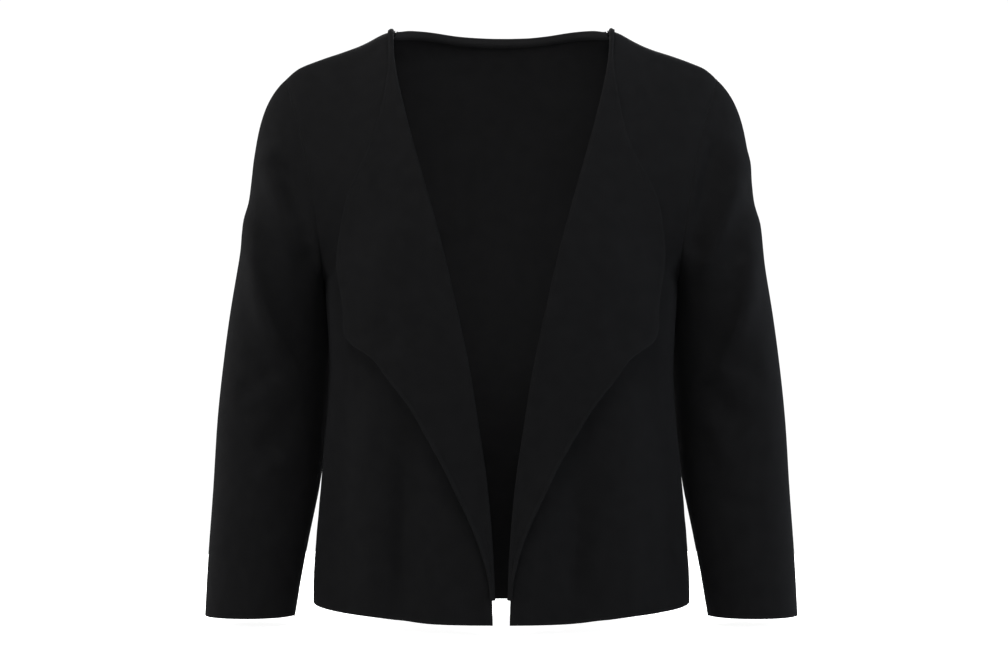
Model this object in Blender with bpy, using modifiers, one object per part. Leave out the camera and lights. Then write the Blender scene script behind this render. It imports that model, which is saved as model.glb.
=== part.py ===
"""Open-front cardigan in a plain fine knit, as it stands when filled out: metres, +Z up, front facing -Y.

The origin is midway between the two neck points, at the height where the shoulders carry the garment.
The body is a loft between two rails: the outer rail runs down the armhole and the side seam, and the
middle rail runs down the centre front or centre back. Every row from one rail to the other is one
Bezier curve. The lapels are the same cloth as the fronts, folded outwards along the roll line.
Left and right are the wearer's, so the left side lies at +X.
"""

import math
from collections import namedtuple

import bmesh
import bpy
import numpy as np
from mathutils import Vector

# Cloth and seams
CLOTH = 0.0016  # thickness of the double-faced knit
BAND_CLOTH = 0.0012  # thickness of the back neck band
SEAM_GAP = 0.0005  # space between neighbouring pieces along a seam

# Armhole, an egg seen from the side
SHOULDER_TIP = Vector((0.2025, 0.0, -0.0457))
UNDERARM = Vector((0.1655, 0.0, -0.2355))
ARMHOLE_FRONT_DEPTH = 0.056
ARMHOLE_BACK_DEPTH = 0.060
ARMHOLE_DROOP = 0.35  # how far the widest place of the egg sits below its middle
ARMHOLE_HOLLOW = 1.75  # how quickly the armhole comes in from the shoulder tip

# Share of each row's length, from shoulder seam to hem, at which the armhole ends
UNDERARM_SHARE = 0.42

# Neck
NECK_HALF_WIDTH = 0.1005
BACK_NECK_DEPTH = 0.058  # how far behind the shoulder seams the neckline reaches
BACK_NECK_SQUARENESS = 2.3  # 2 would make the back neckline half an ellipse seen from above
BAND_DEPTH = 0.009
BAND_REACH = 0.97  # share of the back neckline that the band follows
BAND_INSET = 0.0025  # from the back's outside to the band's top edge
BAND_SLOPE = 0.10  # how much further in its lower edge lies, for each metre down
BAND_UPRIGHT = 1.5  # how strongly the band turns upright where the back beneath it levels out
NECK_LAST_SHARE = 0.3  # the neckline crosses every row of the back before this share

# How far the band's top edge stands above the neckline, from the centre back to a shoulder seam
BandRow = namedtuple("BandRow", "spread rise")
BAND = (
    BandRow(0.00, 0.0004), BandRow(0.20, 0.0012), BandRow(0.40, 0.0025), BandRow(0.52, 0.0034),
    BandRow(0.66, 0.0042), BandRow(0.82, 0.0032), BandRow(1.00, 0.0020),
)

# Lapel
LAPEL_END_SHARE = 0.955  # where along the front the lapel runs out
LAPEL_CURL = 1.3  # over 1 the lapel lifts more towards its free edge

# How a row falls from the middle to the side: outwards is the share of its half width, and kept is
# the share of its rise that is left there
FallRow = namedtuple("FallRow", "outwards kept")
ROW_FALL = (
    FallRow(0.00, 1.000),
    FallRow(0.25, 0.985),
    FallRow(0.33, 0.955),
    FallRow(0.40, 0.890),
    FallRow(0.45, 0.810),
    FallRow(0.50, 0.718),
    FallRow(0.54, 0.674),
    FallRow(0.60, 0.578),
    FallRow(0.70, 0.438),
    FallRow(0.80, 0.335),
    FallRow(0.90, 0.218),
    FallRow(0.95, 0.140),
    FallRow(1.00, 0.000),
)

# Side seam: half width of the body at each height
SideRow = namedtuple("SideRow", "share half_width z")
SIDE_SEAM = (
    SideRow(0.420, 0.1655, -0.2355),
    SideRow(0.455, 0.1648, -0.2554),
    SideRow(0.490, 0.1633, -0.2750),
    SideRow(0.570, 0.1618, -0.3180),
    SideRow(0.660, 0.1640, -0.3650),
    SideRow(0.760, 0.1685, -0.4170),
    SideRow(0.870, 0.1735, -0.4740),
    SideRow(0.950, 0.1762, -0.5140),
    SideRow(1.000, 0.1766, -0.5362),
)

# Middle rail, and the shape of the row that ends there. share is negative down the front, 0 on the
# line between the shoulder seams and positive down the back. side_lead is the angle in degrees
# between a row's start and the straight-ahead direction.
MiddleRow = namedtuple("MiddleRow", "share y z side_lead side_pull middle_pull")
MIDDLE = (
    MiddleRow(-1.00, -0.1180, -0.5468, 0, 0.070, 0.110),
    MiddleRow(-0.85, -0.1140, -0.4760, 0, 0.068, 0.108),
    MiddleRow(-0.70, -0.1160, -0.4000, 0, 0.070, 0.104),
    MiddleRow(-0.55, -0.1230, -0.3200, 0, 0.074, 0.104),
    MiddleRow(-0.42, -0.1235, -0.2440, 0, 0.072, 0.104),
    MiddleRow(-0.36, -0.1190, -0.2000, 26, 0.060, 0.102),
    MiddleRow(-0.30, -0.1110, -0.1530, 50, 0.050, 0.098),
    MiddleRow(-0.20, -0.0880, -0.0720, 70, 0.050, 0.088),
    MiddleRow(-0.10, -0.0540, -0.0060, 80, 0.058, 0.078),
    MiddleRow(-0.05, -0.0300, 0.0145, 86, 0.064, 0.074),
    MiddleRow(0.00, 0.0000, 0.0175, 90, 0.070, 0.070),
    MiddleRow(0.05, 0.0310, 0.0155, 86, 0.064, 0.074),
    MiddleRow(0.10, 0.0565, 0.0010, 80, 0.058, 0.078),
    MiddleRow(0.20, 0.0840, -0.0680, 70, 0.050, 0.088),
    MiddleRow(0.30, 0.0980, -0.1500, 50, 0.048, 0.098),
    MiddleRow(0.36, 0.1000, -0.1980, 26, 0.052, 0.100),
    MiddleRow(0.42, 0.0980, -0.2420, 0, 0.058, 0.102),
    MiddleRow(0.55, 0.0870, -0.3190, 0, 0.054, 0.100),
    MiddleRow(0.70, 0.0790, -0.3980, 0, 0.048, 0.100),
    MiddleRow(0.85, 0.0830, -0.4730, 0, 0.050, 0.104),
    MiddleRow(1.00, 0.0920, -0.5422, 0, 0.056, 0.108),
)

# Roll line and free edge of each lapel, by height, and how far the free edge stands off the front
# there. roll is the inner radius of the fold.
LapelRow = namedtuple("LapelRow", "z roll_x edge_x_right edge_x_left lift roll")
LAPEL = (
    LapelRow(0.000, 0.1024, 0.1052, 0.1052, 0.0004, 0.0005),
    LapelRow(-0.040, 0.0992, 0.1032, 0.1028, 0.0015, 0.0009),
    LapelRow(-0.070, 0.0930, 0.1070, 0.1065, 0.0027, 0.0012),
    LapelRow(-0.099, 0.0855, 0.1135, 0.1120, 0.0036, 0.0012),
    LapelRow(-0.128, 0.0774, 0.1245, 0.1235, 0.0040, 0.0012),
    LapelRow(-0.155, 0.0697, 0.1365, 0.1375, 0.0045, 0.0012),
    LapelRow(-0.183, 0.0618, 0.1425, 0.1440, 0.0052, 0.0012),
    LapelRow(-0.211, 0.0544, 0.1450, 0.1455, 0.0060, 0.0012),
    LapelRow(-0.238, 0.0481, 0.1425, 0.1415, 0.0068, 0.0012),
    LapelRow(-0.264, 0.0421, 0.1375, 0.1365, 0.0078, 0.0012),
    LapelRow(-0.284, 0.0377, 0.1365, 0.1350, 0.0088, 0.0012),
    LapelRow(-0.294, 0.0356, 0.1300, 0.1290, 0.0095, 0.0012),
    LapelRow(-0.305, 0.0333, 0.1140, 0.1140, 0.0100, 0.0012),
    LapelRow(-0.319, 0.0306, 0.1020, 0.1025, 0.0105, 0.0012),
    LapelRow(-0.346, 0.0262, 0.0815, 0.0825, 0.0115, 0.0012),
    LapelRow(-0.373, 0.0221, 0.0665, 0.0675, 0.0115, 0.0012),
    LapelRow(-0.400, 0.0179, 0.0525, 0.0520, 0.0110, 0.0012),
    LapelRow(-0.427, 0.0146, 0.0405, 0.0395, 0.0100, 0.0012),
    LapelRow(-0.454, 0.0120, 0.0285, 0.0275, 0.0085, 0.0012),
    LapelRow(-0.481, 0.0102, 0.0185, 0.0180, 0.0066, 0.0012),
    LapelRow(-0.508, 0.0087, 0.0118, 0.0116, 0.0044, 0.0012),
    LapelRow(-0.549, 0.0075, 0.0100, 0.0100, 0.0030, 0.0012),
)

# Sleeve rings, from armhole to cuff: outer and inner end, then half the depth from front to back.
# The inner end lies further back than the outer one, behind the body's side.
SleeveRow = namedtuple(
    "SleeveRow", "share outer_x outer_y outer_z inner_x inner_y inner_z half_depth droop"
)
SLEEVE = (
    SleeveRow(0.00, 0.2025, 0.002, -0.0457, 0.1657, 0.002, -0.2355, 0.0580, 0.35),
    SleeveRow(0.05, 0.2135, 0.003, -0.0655, 0.1660, 0.006, -0.2410, 0.0600, 0.30),
    SleeveRow(0.11, 0.2244, 0.004, -0.0950, 0.1658, 0.011, -0.2480, 0.0615, 0.24),
    SleeveRow(0.19, 0.2343, 0.006, -0.1430, 0.1647, 0.018, -0.2600, 0.0615, 0.16),
    SleeveRow(0.29, 0.2438, 0.008, -0.1980, 0.1627, 0.026, -0.2800, 0.0605, 0.08),
    SleeveRow(0.40, 0.2546, 0.011, -0.2580, 0.1614, 0.031, -0.3100, 0.0585, 0.02),
    SleeveRow(0.51, 0.2626, 0.013, -0.3150, 0.1630, 0.032, -0.3460, 0.0560, 0.00),
    SleeveRow(0.62, 0.2682, 0.013, -0.3700, 0.1664, 0.028, -0.3880, 0.0530, 0.00),
    SleeveRow(0.73, 0.2712, 0.009, -0.4250, 0.1727, 0.018, -0.4330, 0.0490, 0.00),
    SleeveRow(0.86, 0.2748, 0.000, -0.4870, 0.1834, 0.003, -0.4890, 0.0435, 0.00),
    SleeveRow(1.00, 0.2772, -0.010, -0.5480, 0.1930, -0.010, -0.5480, 0.0385, 0.00),
)
CAP_SHARE = 0.25  # how far down the sleeve its rings still take after the armhole's egg
FLUSH_ANGLE = math.radians(60)  # round the armhole, from its top, how far the sleeve leaves it flush
CREASED_ANGLE = math.radians(115)  # and from where it leaves it in a crease
SIDE_BLEND = 2  # how quickly the folds of a sleeve's front give way to those of its back

# Main folds, as seen from the front or the back: a line from one place to another, and how far the
# cloth stands out along it (in, where negative). Each fades out over width on both sides.
FoldRow = namedtuple("FoldRow", "facing x_1 z_1 x_2 z_2 width height")
BODY_FOLDS_LEFT = (
    FoldRow(-1, 0.072, -0.360, 0.064, -0.560, 0.022, -0.0050),
    FoldRow(-1, 0.112, -0.330, 0.120, -0.560, 0.026, 0.0040),
    FoldRow(1, 0.150, -0.250, 0.090, -0.360, 0.024, 0.0030),
    FoldRow(1, 0.120, -0.130, 0.060, -0.210, 0.024, -0.0025),
    FoldRow(1, 0.080, -0.400, 0.088, -0.560, 0.028, 0.0035),
)
BODY_FOLDS_RIGHT = (
    FoldRow(-1, 0.088, -0.370, 0.090, -0.560, 0.018, -0.0055),
    FoldRow(-1, 0.122, -0.340, 0.118, -0.560, 0.024, 0.0040),
    FoldRow(1, 0.150, -0.260, 0.100, -0.370, 0.024, 0.0030),
    FoldRow(1, 0.110, -0.120, 0.055, -0.190, 0.024, -0.0025),
    FoldRow(1, 0.066, -0.390, 0.074, -0.560, 0.028, 0.0030),
)
SLEEVE_FOLDS_LEFT = (
    FoldRow(-1, 0.226, -0.115, 0.184, -0.228, 0.014, 0.0060),
    FoldRow(-1, 0.196, -0.110, 0.178, -0.210, 0.012, -0.0050),
    FoldRow(-1, 0.238, -0.170, 0.214, -0.290, 0.014, 0.0045),
    FoldRow(-1, 0.186, -0.330, 0.226, -0.370, 0.014, -0.0035),
    FoldRow(1, 0.228, -0.130, 0.184, -0.250, 0.016, 0.0045),
    FoldRow(1, 0.200, -0.120, 0.178, -0.225, 0.013, -0.0045),
    FoldRow(1, 0.190, -0.340, 0.240, -0.320, 0.015, -0.0030),
)
SLEEVE_FOLDS_RIGHT = (
    FoldRow(-1, 0.220, -0.115, 0.182, -0.205, 0.014, 0.0060),
    FoldRow(-1, 0.200, -0.130, 0.176, -0.235, 0.012, -0.0055),
    FoldRow(-1, 0.236, -0.165, 0.206, -0.300, 0.014, 0.0045),
    FoldRow(-1, 0.184, -0.345, 0.222, -0.395, 0.014, -0.0030),
    FoldRow(1, 0.224, -0.140, 0.186, -0.260, 0.016, 0.0045),
    FoldRow(1, 0.198, -0.115, 0.176, -0.215, 0.013, -0.0045),
    FoldRow(1, 0.192, -0.350, 0.236, -0.335, 0.015, -0.0030),
)
FOLD_END = 0.25  # share of a fold's length over which each of its ends fades
FOLD_CLEAR = 0.02  # distance from a seam within which the folds fade

# How finely each piece is divided. The body's rows are closest at the lapels' corners.
RowBand = namedtuple("RowBand", "until rows")
BODY_BANDS = (
    RowBand(0.008, 1),
    RowBand(0.14, 4),
    RowBand(0.44, 8),
    RowBand(0.58, 7),
    RowBand(LAPEL_END_SHARE, 9),
    RowBand(1.00, 1),
)
FRONT_COLUMNS = 11
BACK_COLUMNS = 12  # from side seam to centre back, half of them beside the neckline
FOLD_STEPS = 4
LAPEL_COLUMNS = 6
SLEEVE_ROWS = 22
SLEEVE_COLUMNS = 24
STEP = 1e-3  # share, across value or angle over which a direction is measured
LONG_STEP = 0.01  # the same where the direction is that of a whole row's end
WELD = 1e-6  # corners nearer than this are one corner
HALVINGS = 40  # of a range in which a place is searched for

KNIT_COLOUR = (0.012, 0.012, 0.014, 1.0)
KNIT_ROUGHNESS = 0.92


def spline(knots, values):
    """The natural cubic spline through values at knots, as a function."""
    x, y = np.array(knots, float), np.array(values, float)
    if x[0] > x[-1]:
        x, y = x[::-1], y[::-1]
    gap = np.diff(x)
    count = len(x)
    matrix, right = np.eye(count), np.zeros(count)
    for i in range(1, count - 1):
        matrix[i, i - 1 : i + 2] = gap[i - 1], 2 * (gap[i - 1] + gap[i]), gap[i]
        right[i] = 6 * ((y[i + 1] - y[i]) / gap[i] - (y[i] - y[i - 1]) / gap[i - 1])
    bend = np.linalg.solve(matrix, right)

    def at(value):
        value = min(max(value, x[0]), x[-1])
        i = min(max(int(np.searchsorted(x, value)) - 1, 0), count - 2)
        left, after, step = x[i + 1] - value, value - x[i], gap[i]
        return float(
            (bend[i] * left**3 + bend[i + 1] * after**3) / (6 * step)
            + (y[i] / step - bend[i] * step / 6) * left
            + (y[i + 1] / step - bend[i + 1] * step / 6) * after
        )

    return at


def columns(rows):
    """Each column of a table after its first, as a spline over the first."""
    names = rows[0]._fields
    knots = [row[0] for row in rows]
    return {
        name: spline(knots, [row[k] for row in rows]) for k, name in enumerate(names) if k
    }


side_seam = columns(SIDE_SEAM)
middle = columns(MIDDLE)
lapel = columns(LAPEL)
sleeve = columns(SLEEVE)
band = columns(BAND)
row_fall = columns(
    [row._replace(outwards=-row.outwards) for row in reversed(ROW_FALL[1:])] + list(ROW_FALL)
)["kept"]


def smooth(value):
    """0 up to 0, 1 from 1 on, and an even S between."""
    value = min(max(value, 0.0), 1.0)
    return value * value * (3 - 2 * value)


def fold_height(folds, point, facing):
    """How far the folds move the cloth out at point, on its side facing -1 (front) or +1 (back)."""
    height = 0.0
    for row in folds:
        if row.facing != facing:
            continue
        run_x, run_z = row.x_2 - row.x_1, row.z_2 - row.z_1
        length = math.hypot(run_x, run_z)
        along = ((point.x - row.x_1) * run_x + (point.z - row.z_1) * run_z) / length**2
        aside = ((point.x - row.x_1) * run_z - (point.z - row.z_1) * run_x) / length
        ends = smooth(along / FOLD_END + 0.5) * smooth((1 - along) / FOLD_END + 0.5)
        height += row.height * ends * math.exp(-((aside / row.width) ** 2))
    return height


def solve(function, low, high):
    """Where function crosses zero between low and high."""
    rising = function(high) > function(low)
    for _ in range(HALVINGS):
        middle = (low + high) / 2
        if (function(middle) > 0) == rising:
            high = middle
        else:
            low = middle
    return (low + high) / 2


def armhole_point(angle, facing):
    """Point of the armhole at angle, 0 at the shoulder tip and pi at the underarm. facing is -1 for
    the front half and +1 for the back half."""
    height = (1 + math.cos(angle)) / 2
    depth = ARMHOLE_FRONT_DEPTH if facing < 0 else ARMHOLE_BACK_DEPTH
    return Vector((
        UNDERARM.x + (SHOULDER_TIP.x - UNDERARM.x) * height**ARMHOLE_HOLLOW,
        facing * depth * math.sin(angle - ARMHOLE_DROOP * math.sin(angle)),
        UNDERARM.z + (SHOULDER_TIP.z - UNDERARM.z) * height,
    ))


def outer_rail(share, facing):
    """The armhole down to the underarm, then the side seam down to the hem."""
    if share < UNDERARM_SHARE:
        return armhole_point(math.pi * share / UNDERARM_SHARE, facing)
    return Vector((side_seam["half_width"](share), 0.0, side_seam["z"](share)))


def body_point(share, across, facing):
    """Point of the body on its +X half: share runs from shoulder seam to hem, and across from the
    outer rail to the middle."""
    outer = outer_rail(share, facing)
    row = {name: at(facing * share) for name, at in middle.items()}
    middle_y, side_pull, middle_pull = row["y"], row["side_pull"], row["middle_pull"]
    lead = math.radians(min(max(row["side_lead"], 0.0), 90.0))
    xs = (outer.x, outer.x - side_pull * math.sin(lead), middle_pull, 0.0)
    ys = (outer.y, outer.y + facing * side_pull * math.cos(lead), middle_y, middle_y)
    t, s = across, 1 - across
    weights = (s**3, 3 * s * s * t, 3 * s * t * t, t**3)
    x = sum(w * value for w, value in zip(weights, xs))
    y = sum(w * value for w, value in zip(weights, ys))
    kept = row_fall(x / outer.x)
    return Vector((x, y, outer.z + (row["z"] - outer.z) * kept))


def body_normal(share, across, facing):
    """Outward direction of the body's surface at body_point."""
    above, below = max(share - STEP, 0.0), min(share + STEP, 1.0)
    down = body_point(below, across, facing) - body_point(above, across, facing)
    low, high = max(across - STEP, 0.0), min(across + STEP, 1.0)
    inwards = body_point(share, high, facing) - body_point(share, low, facing)
    return down.cross(inwards).normalized() * facing


def folded(share, across, facing, side):
    """How far the folds move the body's cloth out at body_point."""
    folds = BODY_FOLDS_LEFT if side > 0 else BODY_FOLDS_RIGHT
    point = body_point(share, across, facing)
    seam = (point - body_point(share, 0.0, facing)).length / FOLD_CLEAR
    return fold_height(folds, point, facing) * smooth(seam)


def across_at(share, facing, x_of_z):
    """How far across a row the body reaches the half width that x_of_z gives for its height."""

    def beyond(across):
        point = body_point(share, across, facing)
        return point.x - x_of_z(point.z)

    return solve(beyond, 0.0, 1.0)


def row_shares():
    """The share of each of the body's rows."""
    shares = [0.0]
    for band in BODY_BANDS:
        start = shares[-1]
        steps = range(1, band.rows + 1)
        shares += [start + (band.until - start) * step / band.rows for step in steps]
    return shares


def seam_step(share, facing, across=0.5):
    """Half the seam gap as a share of the row at this place."""
    length = (body_point(share, across, facing) - body_point(share, 0.0, facing)).length
    return SEAM_GAP / 2 * across / length


def cloth_point(share, across, facing, side, lift=0.0):
    """Point of the body's cloth with its folds, lifted off it, and clear of the shoulder seam."""
    out = folded(share, across, facing, side) + lift
    point = body_point(share, across, facing) + body_normal(share, across, facing) * out
    if share == 0.0:
        point.y += facing * SEAM_GAP / 2
    return point


def front_point(share, across, side):
    """Front panel from its outer edge to the roll line."""
    roll = across_at(share, -1, lapel["roll_x"])
    start = seam_step(share, -1)
    return cloth_point(share, start + (roll - start) * across, -1, side)


def lapel_point(share, beyond, side):
    """Fold and lapel: beyond runs from 0 at the roll line through the fold to 1 at the free edge."""
    roll = across_at(share, -1, lapel["roll_x"])
    edge = across_at(share, -1, lapel["edge_x_left" if side > 0 else "edge_x_right"])
    radius = lapel["roll"](body_point(share, roll, -1).z)
    fold_share = FOLD_STEPS / (FOLD_STEPS + LAPEL_COLUMNS)
    if beyond <= fold_share + WELD:
        turn = math.pi * beyond / fold_share
        normal = body_normal(share, roll, -1)
        inwards = body_point(share, roll, -1) - body_point(share, roll - LONG_STEP, -1)
        inwards = (inwards - normal * inwards.dot(normal)).normalized()
        return cloth_point(share, roll, -1, side) + radius * (
            inwards * math.sin(turn) + normal * (1 - math.cos(turn))
        )
    out = (beyond - fold_share) / (1 - fold_share)
    place = roll + (edge - roll) * out
    start, end = 2 * radius, lapel["lift"](body_point(share, place, -1).z)
    return cloth_point(share, place, -1, side, start + (end - start) * out**LAPEL_CURL)


def back_neck_share(across):
    """Where the back panel starts below the shoulder seam, so that it follows the neckline."""
    if body_point(0.0, across, 1).x >= NECK_HALF_WIDTH:
        return 0.0

    def inside_neck(share):
        point = body_point(share, across, 1)
        wide, deep = point.x / NECK_HALF_WIDTH, point.y / BACK_NECK_DEPTH
        return 1 - wide**BACK_NECK_SQUARENESS - deep**BACK_NECK_SQUARENESS

    return solve(inside_neck, 0.0, NECK_LAST_SHARE)


NECK_CORNER = across_at(0.0, 1, lambda z: NECK_HALF_WIDTH)


def neck_across(spread):
    """Across value at spread, from 0 at the centre back to 1 at a shoulder seam, so that even steps
    of spread are about even along the neckline."""
    return 1 - (1 - NECK_CORNER) * math.sin(math.pi / 2 * spread) ** (2 / BACK_NECK_SQUARENESS)


def back_point(row, spread):
    """Back panel: row is the row's share, where it starts at the shoulder seam, and spread runs from
    -1 at the right side seam to +1 at the left one."""
    outwards = abs(spread)
    if outwards > 0.5:
        across = NECK_CORNER * (1 - outwards) * 2
    else:
        across = neck_across(outwards * 2)
    start = back_neck_share(across)
    share = row + start * max(1 - row / UNDERARM_SHARE, 0.0)
    side = math.copysign(1.0, spread)
    point = cloth_point(share, max(across, seam_step(share, 1)), 1, side)
    point.x *= side
    return point


def sleeve_ring(share, angle):
    """Point of the sleeve's ring at share, before it is fitted to the armhole."""
    at = {name: value(share) for name, value in sleeve.items()}
    reach = math.cos(angle) / 2
    return Vector((
        (at["outer_x"] + at["inner_x"]) / 2 + (at["outer_x"] - at["inner_x"]) * reach,
        (at["outer_y"] + at["inner_y"]) / 2 + (at["outer_y"] - at["inner_y"]) * reach
        - at["half_depth"] * math.sin(angle - at["droop"] * math.sin(angle)),
        (at["outer_z"] + at["inner_z"]) / 2 + (at["outer_z"] - at["inner_z"]) * reach,
    ))


def sleeve_form(share, angle):
    """Point of the +X sleeve without its folds: angle is 0 along the outside of the arm, pi along its
    inside, and pi / 2 at the front."""
    point = sleeve_ring(share, angle)
    if share >= CAP_SHARE:
        return point
    facing = -1 if math.sin(angle) > 0 else 1
    turn = math.acos(math.cos(angle))
    seam = armhole_point(turn, facing)
    point += (seam - sleeve_ring(0.0, angle)) * (1 - smooth(share / CAP_SHARE))
    # Near the top of the armhole the sleeve goes on in the direction of the body's cloth.
    flush = smooth((CREASED_ANGLE - turn) / (CREASED_ANGLE - FLUSH_ANGLE))
    row = UNDERARM_SHARE * turn / math.pi
    outwards = body_point(row, 0.0, facing) - body_point(row, LONG_STEP, facing)
    start = (sleeve_ring(STEP, angle) - sleeve_ring(0.0, angle)) / STEP
    change = outwards.normalized() * start.length - start
    return point + change * flush * share * (1 - share / CAP_SHARE) ** 2


def sleeve_point(share, angle, side):
    """Point of the +X sleeve, with the folds of the left (side +1) or right (side -1) sleeve."""
    point = sleeve_form(share, angle)
    above, below = max(share - STEP, 0.0), min(share + STEP, 1.0)
    down = sleeve_form(below, angle) - sleeve_form(above, angle)
    around = sleeve_form(share, angle + STEP) - sleeve_form(share, angle - STEP)
    normal = around.cross(down).normalized()
    folds = SLEEVE_FOLDS_LEFT if side > 0 else SLEEVE_FOLDS_RIGHT
    front = smooth(0.5 + SIDE_BLEND * math.sin(angle))
    height = front * fold_height(folds, point, -1) + (1 - front) * fold_height(folds, point, 1)
    seam = (point - sleeve_form(0.0, angle)).length / FOLD_CLEAR
    return point + normal * height * smooth(seam)


def material(name, colour, roughness):
    made = bpy.data.materials.new(name)
    made.use_nodes = True
    shader = made.node_tree.nodes["Principled BSDF"]
    shader.inputs["Base Color"].default_value = colour
    shader.inputs["Roughness"].default_value = roughness
    shader.inputs["Metallic"].default_value = 0.0
    made.diffuse_color = colour
    return made


def grid(mesh, across, rows, point):
    """Adds a grid to mesh, with across faces in each row, and moves each of its corners to
    point(u, row), with u from 0 to 1."""
    down = len(rows) - 1
    made = bmesh.ops.create_grid(mesh, x_segments=across, y_segments=down, size=0.5)
    for corner in made["verts"]:
        corner.co = point(corner.co.x + 0.5, rows[round((corner.co.y + 0.5) * down)])


def finish(name, mesh, thickness, knit, collection, inside):
    """Welds the grids of mesh, turns them to face away from the point inside, and makes a wall."""
    bmesh.ops.remove_doubles(mesh, verts=mesh.verts, dist=WELD)
    bmesh.ops.recalc_face_normals(mesh, faces=mesh.faces)
    mesh.faces.ensure_lookup_table()
    first = mesh.faces[0]
    if first.normal.dot(first.calc_center_median() - inside) < 0:
        bmesh.ops.reverse_faces(mesh, faces=mesh.faces)
    data = bpy.data.meshes.new(name)
    mesh.to_mesh(data)
    mesh.free()
    data.shade_smooth()
    data.materials.append(knit)
    made = bpy.data.objects.new(name, data)
    collection.objects.link(made)
    wall = made.modifiers.new("Wall", "SOLIDIFY")
    wall.thickness = thickness
    wall.offset = -1
    wall.use_quality_normals = True
    return made


def make_front(name, side, knit, collection):
    """One front with its lapel: side is +1 for the left front and -1 for the right."""
    shares = row_shares()
    lapel_shares = [share for share in shares if share <= LAPEL_END_SHARE + WELD]
    mesh = bmesh.new()

    def mirrored(point):
        return Vector((side * point.x, point.y, point.z))

    grid(mesh, FRONT_COLUMNS, shares, lambda u, share: mirrored(front_point(share, u, side)))
    grid(
        mesh, FOLD_STEPS + LAPEL_COLUMNS, lapel_shares,
        lambda u, share: mirrored(lapel_point(share, u, side)),
    )
    inside = mirrored(Vector((0.10, 0.0, -0.25)))
    return finish(name, mesh, CLOTH, knit, collection, inside)


def make_back(knit, collection):
    mesh = bmesh.new()
    grid(
        mesh, 2 * BACK_COLUMNS, row_shares(),
        lambda u, share: back_point(share, 2 * u - 1),
    )
    return finish("back", mesh, CLOTH, knit, collection, Vector((0, 0, -0.25)))


def make_sleeve(name, side, knit, collection):
    mesh = bmesh.new()

    def point(around, share):
        angle = math.pi * (1 + 2 * around)
        at = sleeve_point(share, angle, side)
        if share == 0.0:
            ahead = sleeve_point(LONG_STEP, angle, side) - at
            at += ahead.normalized() * SEAM_GAP / 2
        return Vector((side * at.x, at.y, at.z))

    grid(mesh, SLEEVE_COLUMNS, [row / SLEEVE_ROWS for row in range(SLEEVE_ROWS + 1)], point)
    return finish(name, mesh, CLOTH, knit, collection, Vector((side * 0.22, 0, -0.25)))


def neckline(spread):
    """Point of the back neckline and the body's outward direction there, for spread from -1 at the
    right shoulder seam to +1 at the left one."""
    across = neck_across(abs(spread))
    share = back_neck_share(across)
    point, normal = body_point(share, across, 1), body_normal(share, across, 1)
    if spread < 0:
        point.x, normal.x = -point.x, -normal.x
    return point, normal


def make_neck_band(knit, collection):
    """Narrow band sewn inside the back neckline."""

    def point(u, below_top):
        spread = (2 * u - 1) * BAND_REACH
        down = below_top - band["rise"](abs(spread))
        at, normal = neckline(spread)
        along = neckline(spread + STEP)[0] - neckline(spread - STEP)[0]
        below = normal.cross(along).normalized()
        below = (below - Vector((0.0, 0.0, BAND_UPRIGHT))).normalized()
        return at + below * down - normal * (BAND_INSET + BAND_SLOPE * down)

    mesh = bmesh.new()
    grid(mesh, BACK_COLUMNS, (0.0, BAND_DEPTH / 2, BAND_DEPTH), point)
    return finish("neck_band", mesh, BAND_CLOTH, knit, collection, Vector((0, 0, -0.05)))


def main():
    for old in list(bpy.data.objects):
        bpy.data.objects.remove(old, do_unlink=True)
    collection = bpy.data.collections.new("open_front_cardigan")
    bpy.context.scene.collection.children.link(collection)
    knit = material("black_knit", KNIT_COLOUR, KNIT_ROUGHNESS)
    make_back(knit, collection)
    make_front("front_left", 1, knit, collection)
    make_front("front_right", -1, knit, collection)
    make_sleeve("sleeve_left", 1, knit, collection)
    make_sleeve("sleeve_right", -1, knit, collection)
    make_neck_band(knit, collection)


main()
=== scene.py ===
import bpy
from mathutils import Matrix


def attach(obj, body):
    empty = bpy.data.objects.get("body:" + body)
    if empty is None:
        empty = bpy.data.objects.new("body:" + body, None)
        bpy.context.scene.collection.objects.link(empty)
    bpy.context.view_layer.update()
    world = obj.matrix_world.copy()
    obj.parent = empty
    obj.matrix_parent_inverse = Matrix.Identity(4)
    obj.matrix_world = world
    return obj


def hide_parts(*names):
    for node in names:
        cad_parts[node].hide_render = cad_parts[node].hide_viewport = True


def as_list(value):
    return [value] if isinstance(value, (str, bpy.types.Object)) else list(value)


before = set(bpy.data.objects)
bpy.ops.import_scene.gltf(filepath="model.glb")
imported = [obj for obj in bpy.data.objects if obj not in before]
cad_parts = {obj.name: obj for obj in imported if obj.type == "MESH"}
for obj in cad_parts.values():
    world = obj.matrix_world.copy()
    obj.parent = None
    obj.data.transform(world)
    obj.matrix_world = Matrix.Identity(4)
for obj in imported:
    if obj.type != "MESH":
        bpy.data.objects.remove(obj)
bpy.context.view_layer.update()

# Open-front knit cardigan, as it stands when filled out. The cloth of each cut piece follows the form of
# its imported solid, with finer creases, rounded edges, sunk seams and a knit of its own. Metres, +Z up,
# front facing -Y, and the wearer's left at +X. A side of +1 is the left and -1 the right, and a facing of
# -1 is the front and +1 the back.

import math
from collections import namedtuple

import bpy
import numpy as np


def table(columns, *rows):
    """Rows of values with their columns named."""
    Row = namedtuple("Row", columns)
    return [Row(*row) for row in rows]


# ---------------------------------------------------------------------------------------------------
# Sizes shared with the solids
# ---------------------------------------------------------------------------------------------------

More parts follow.
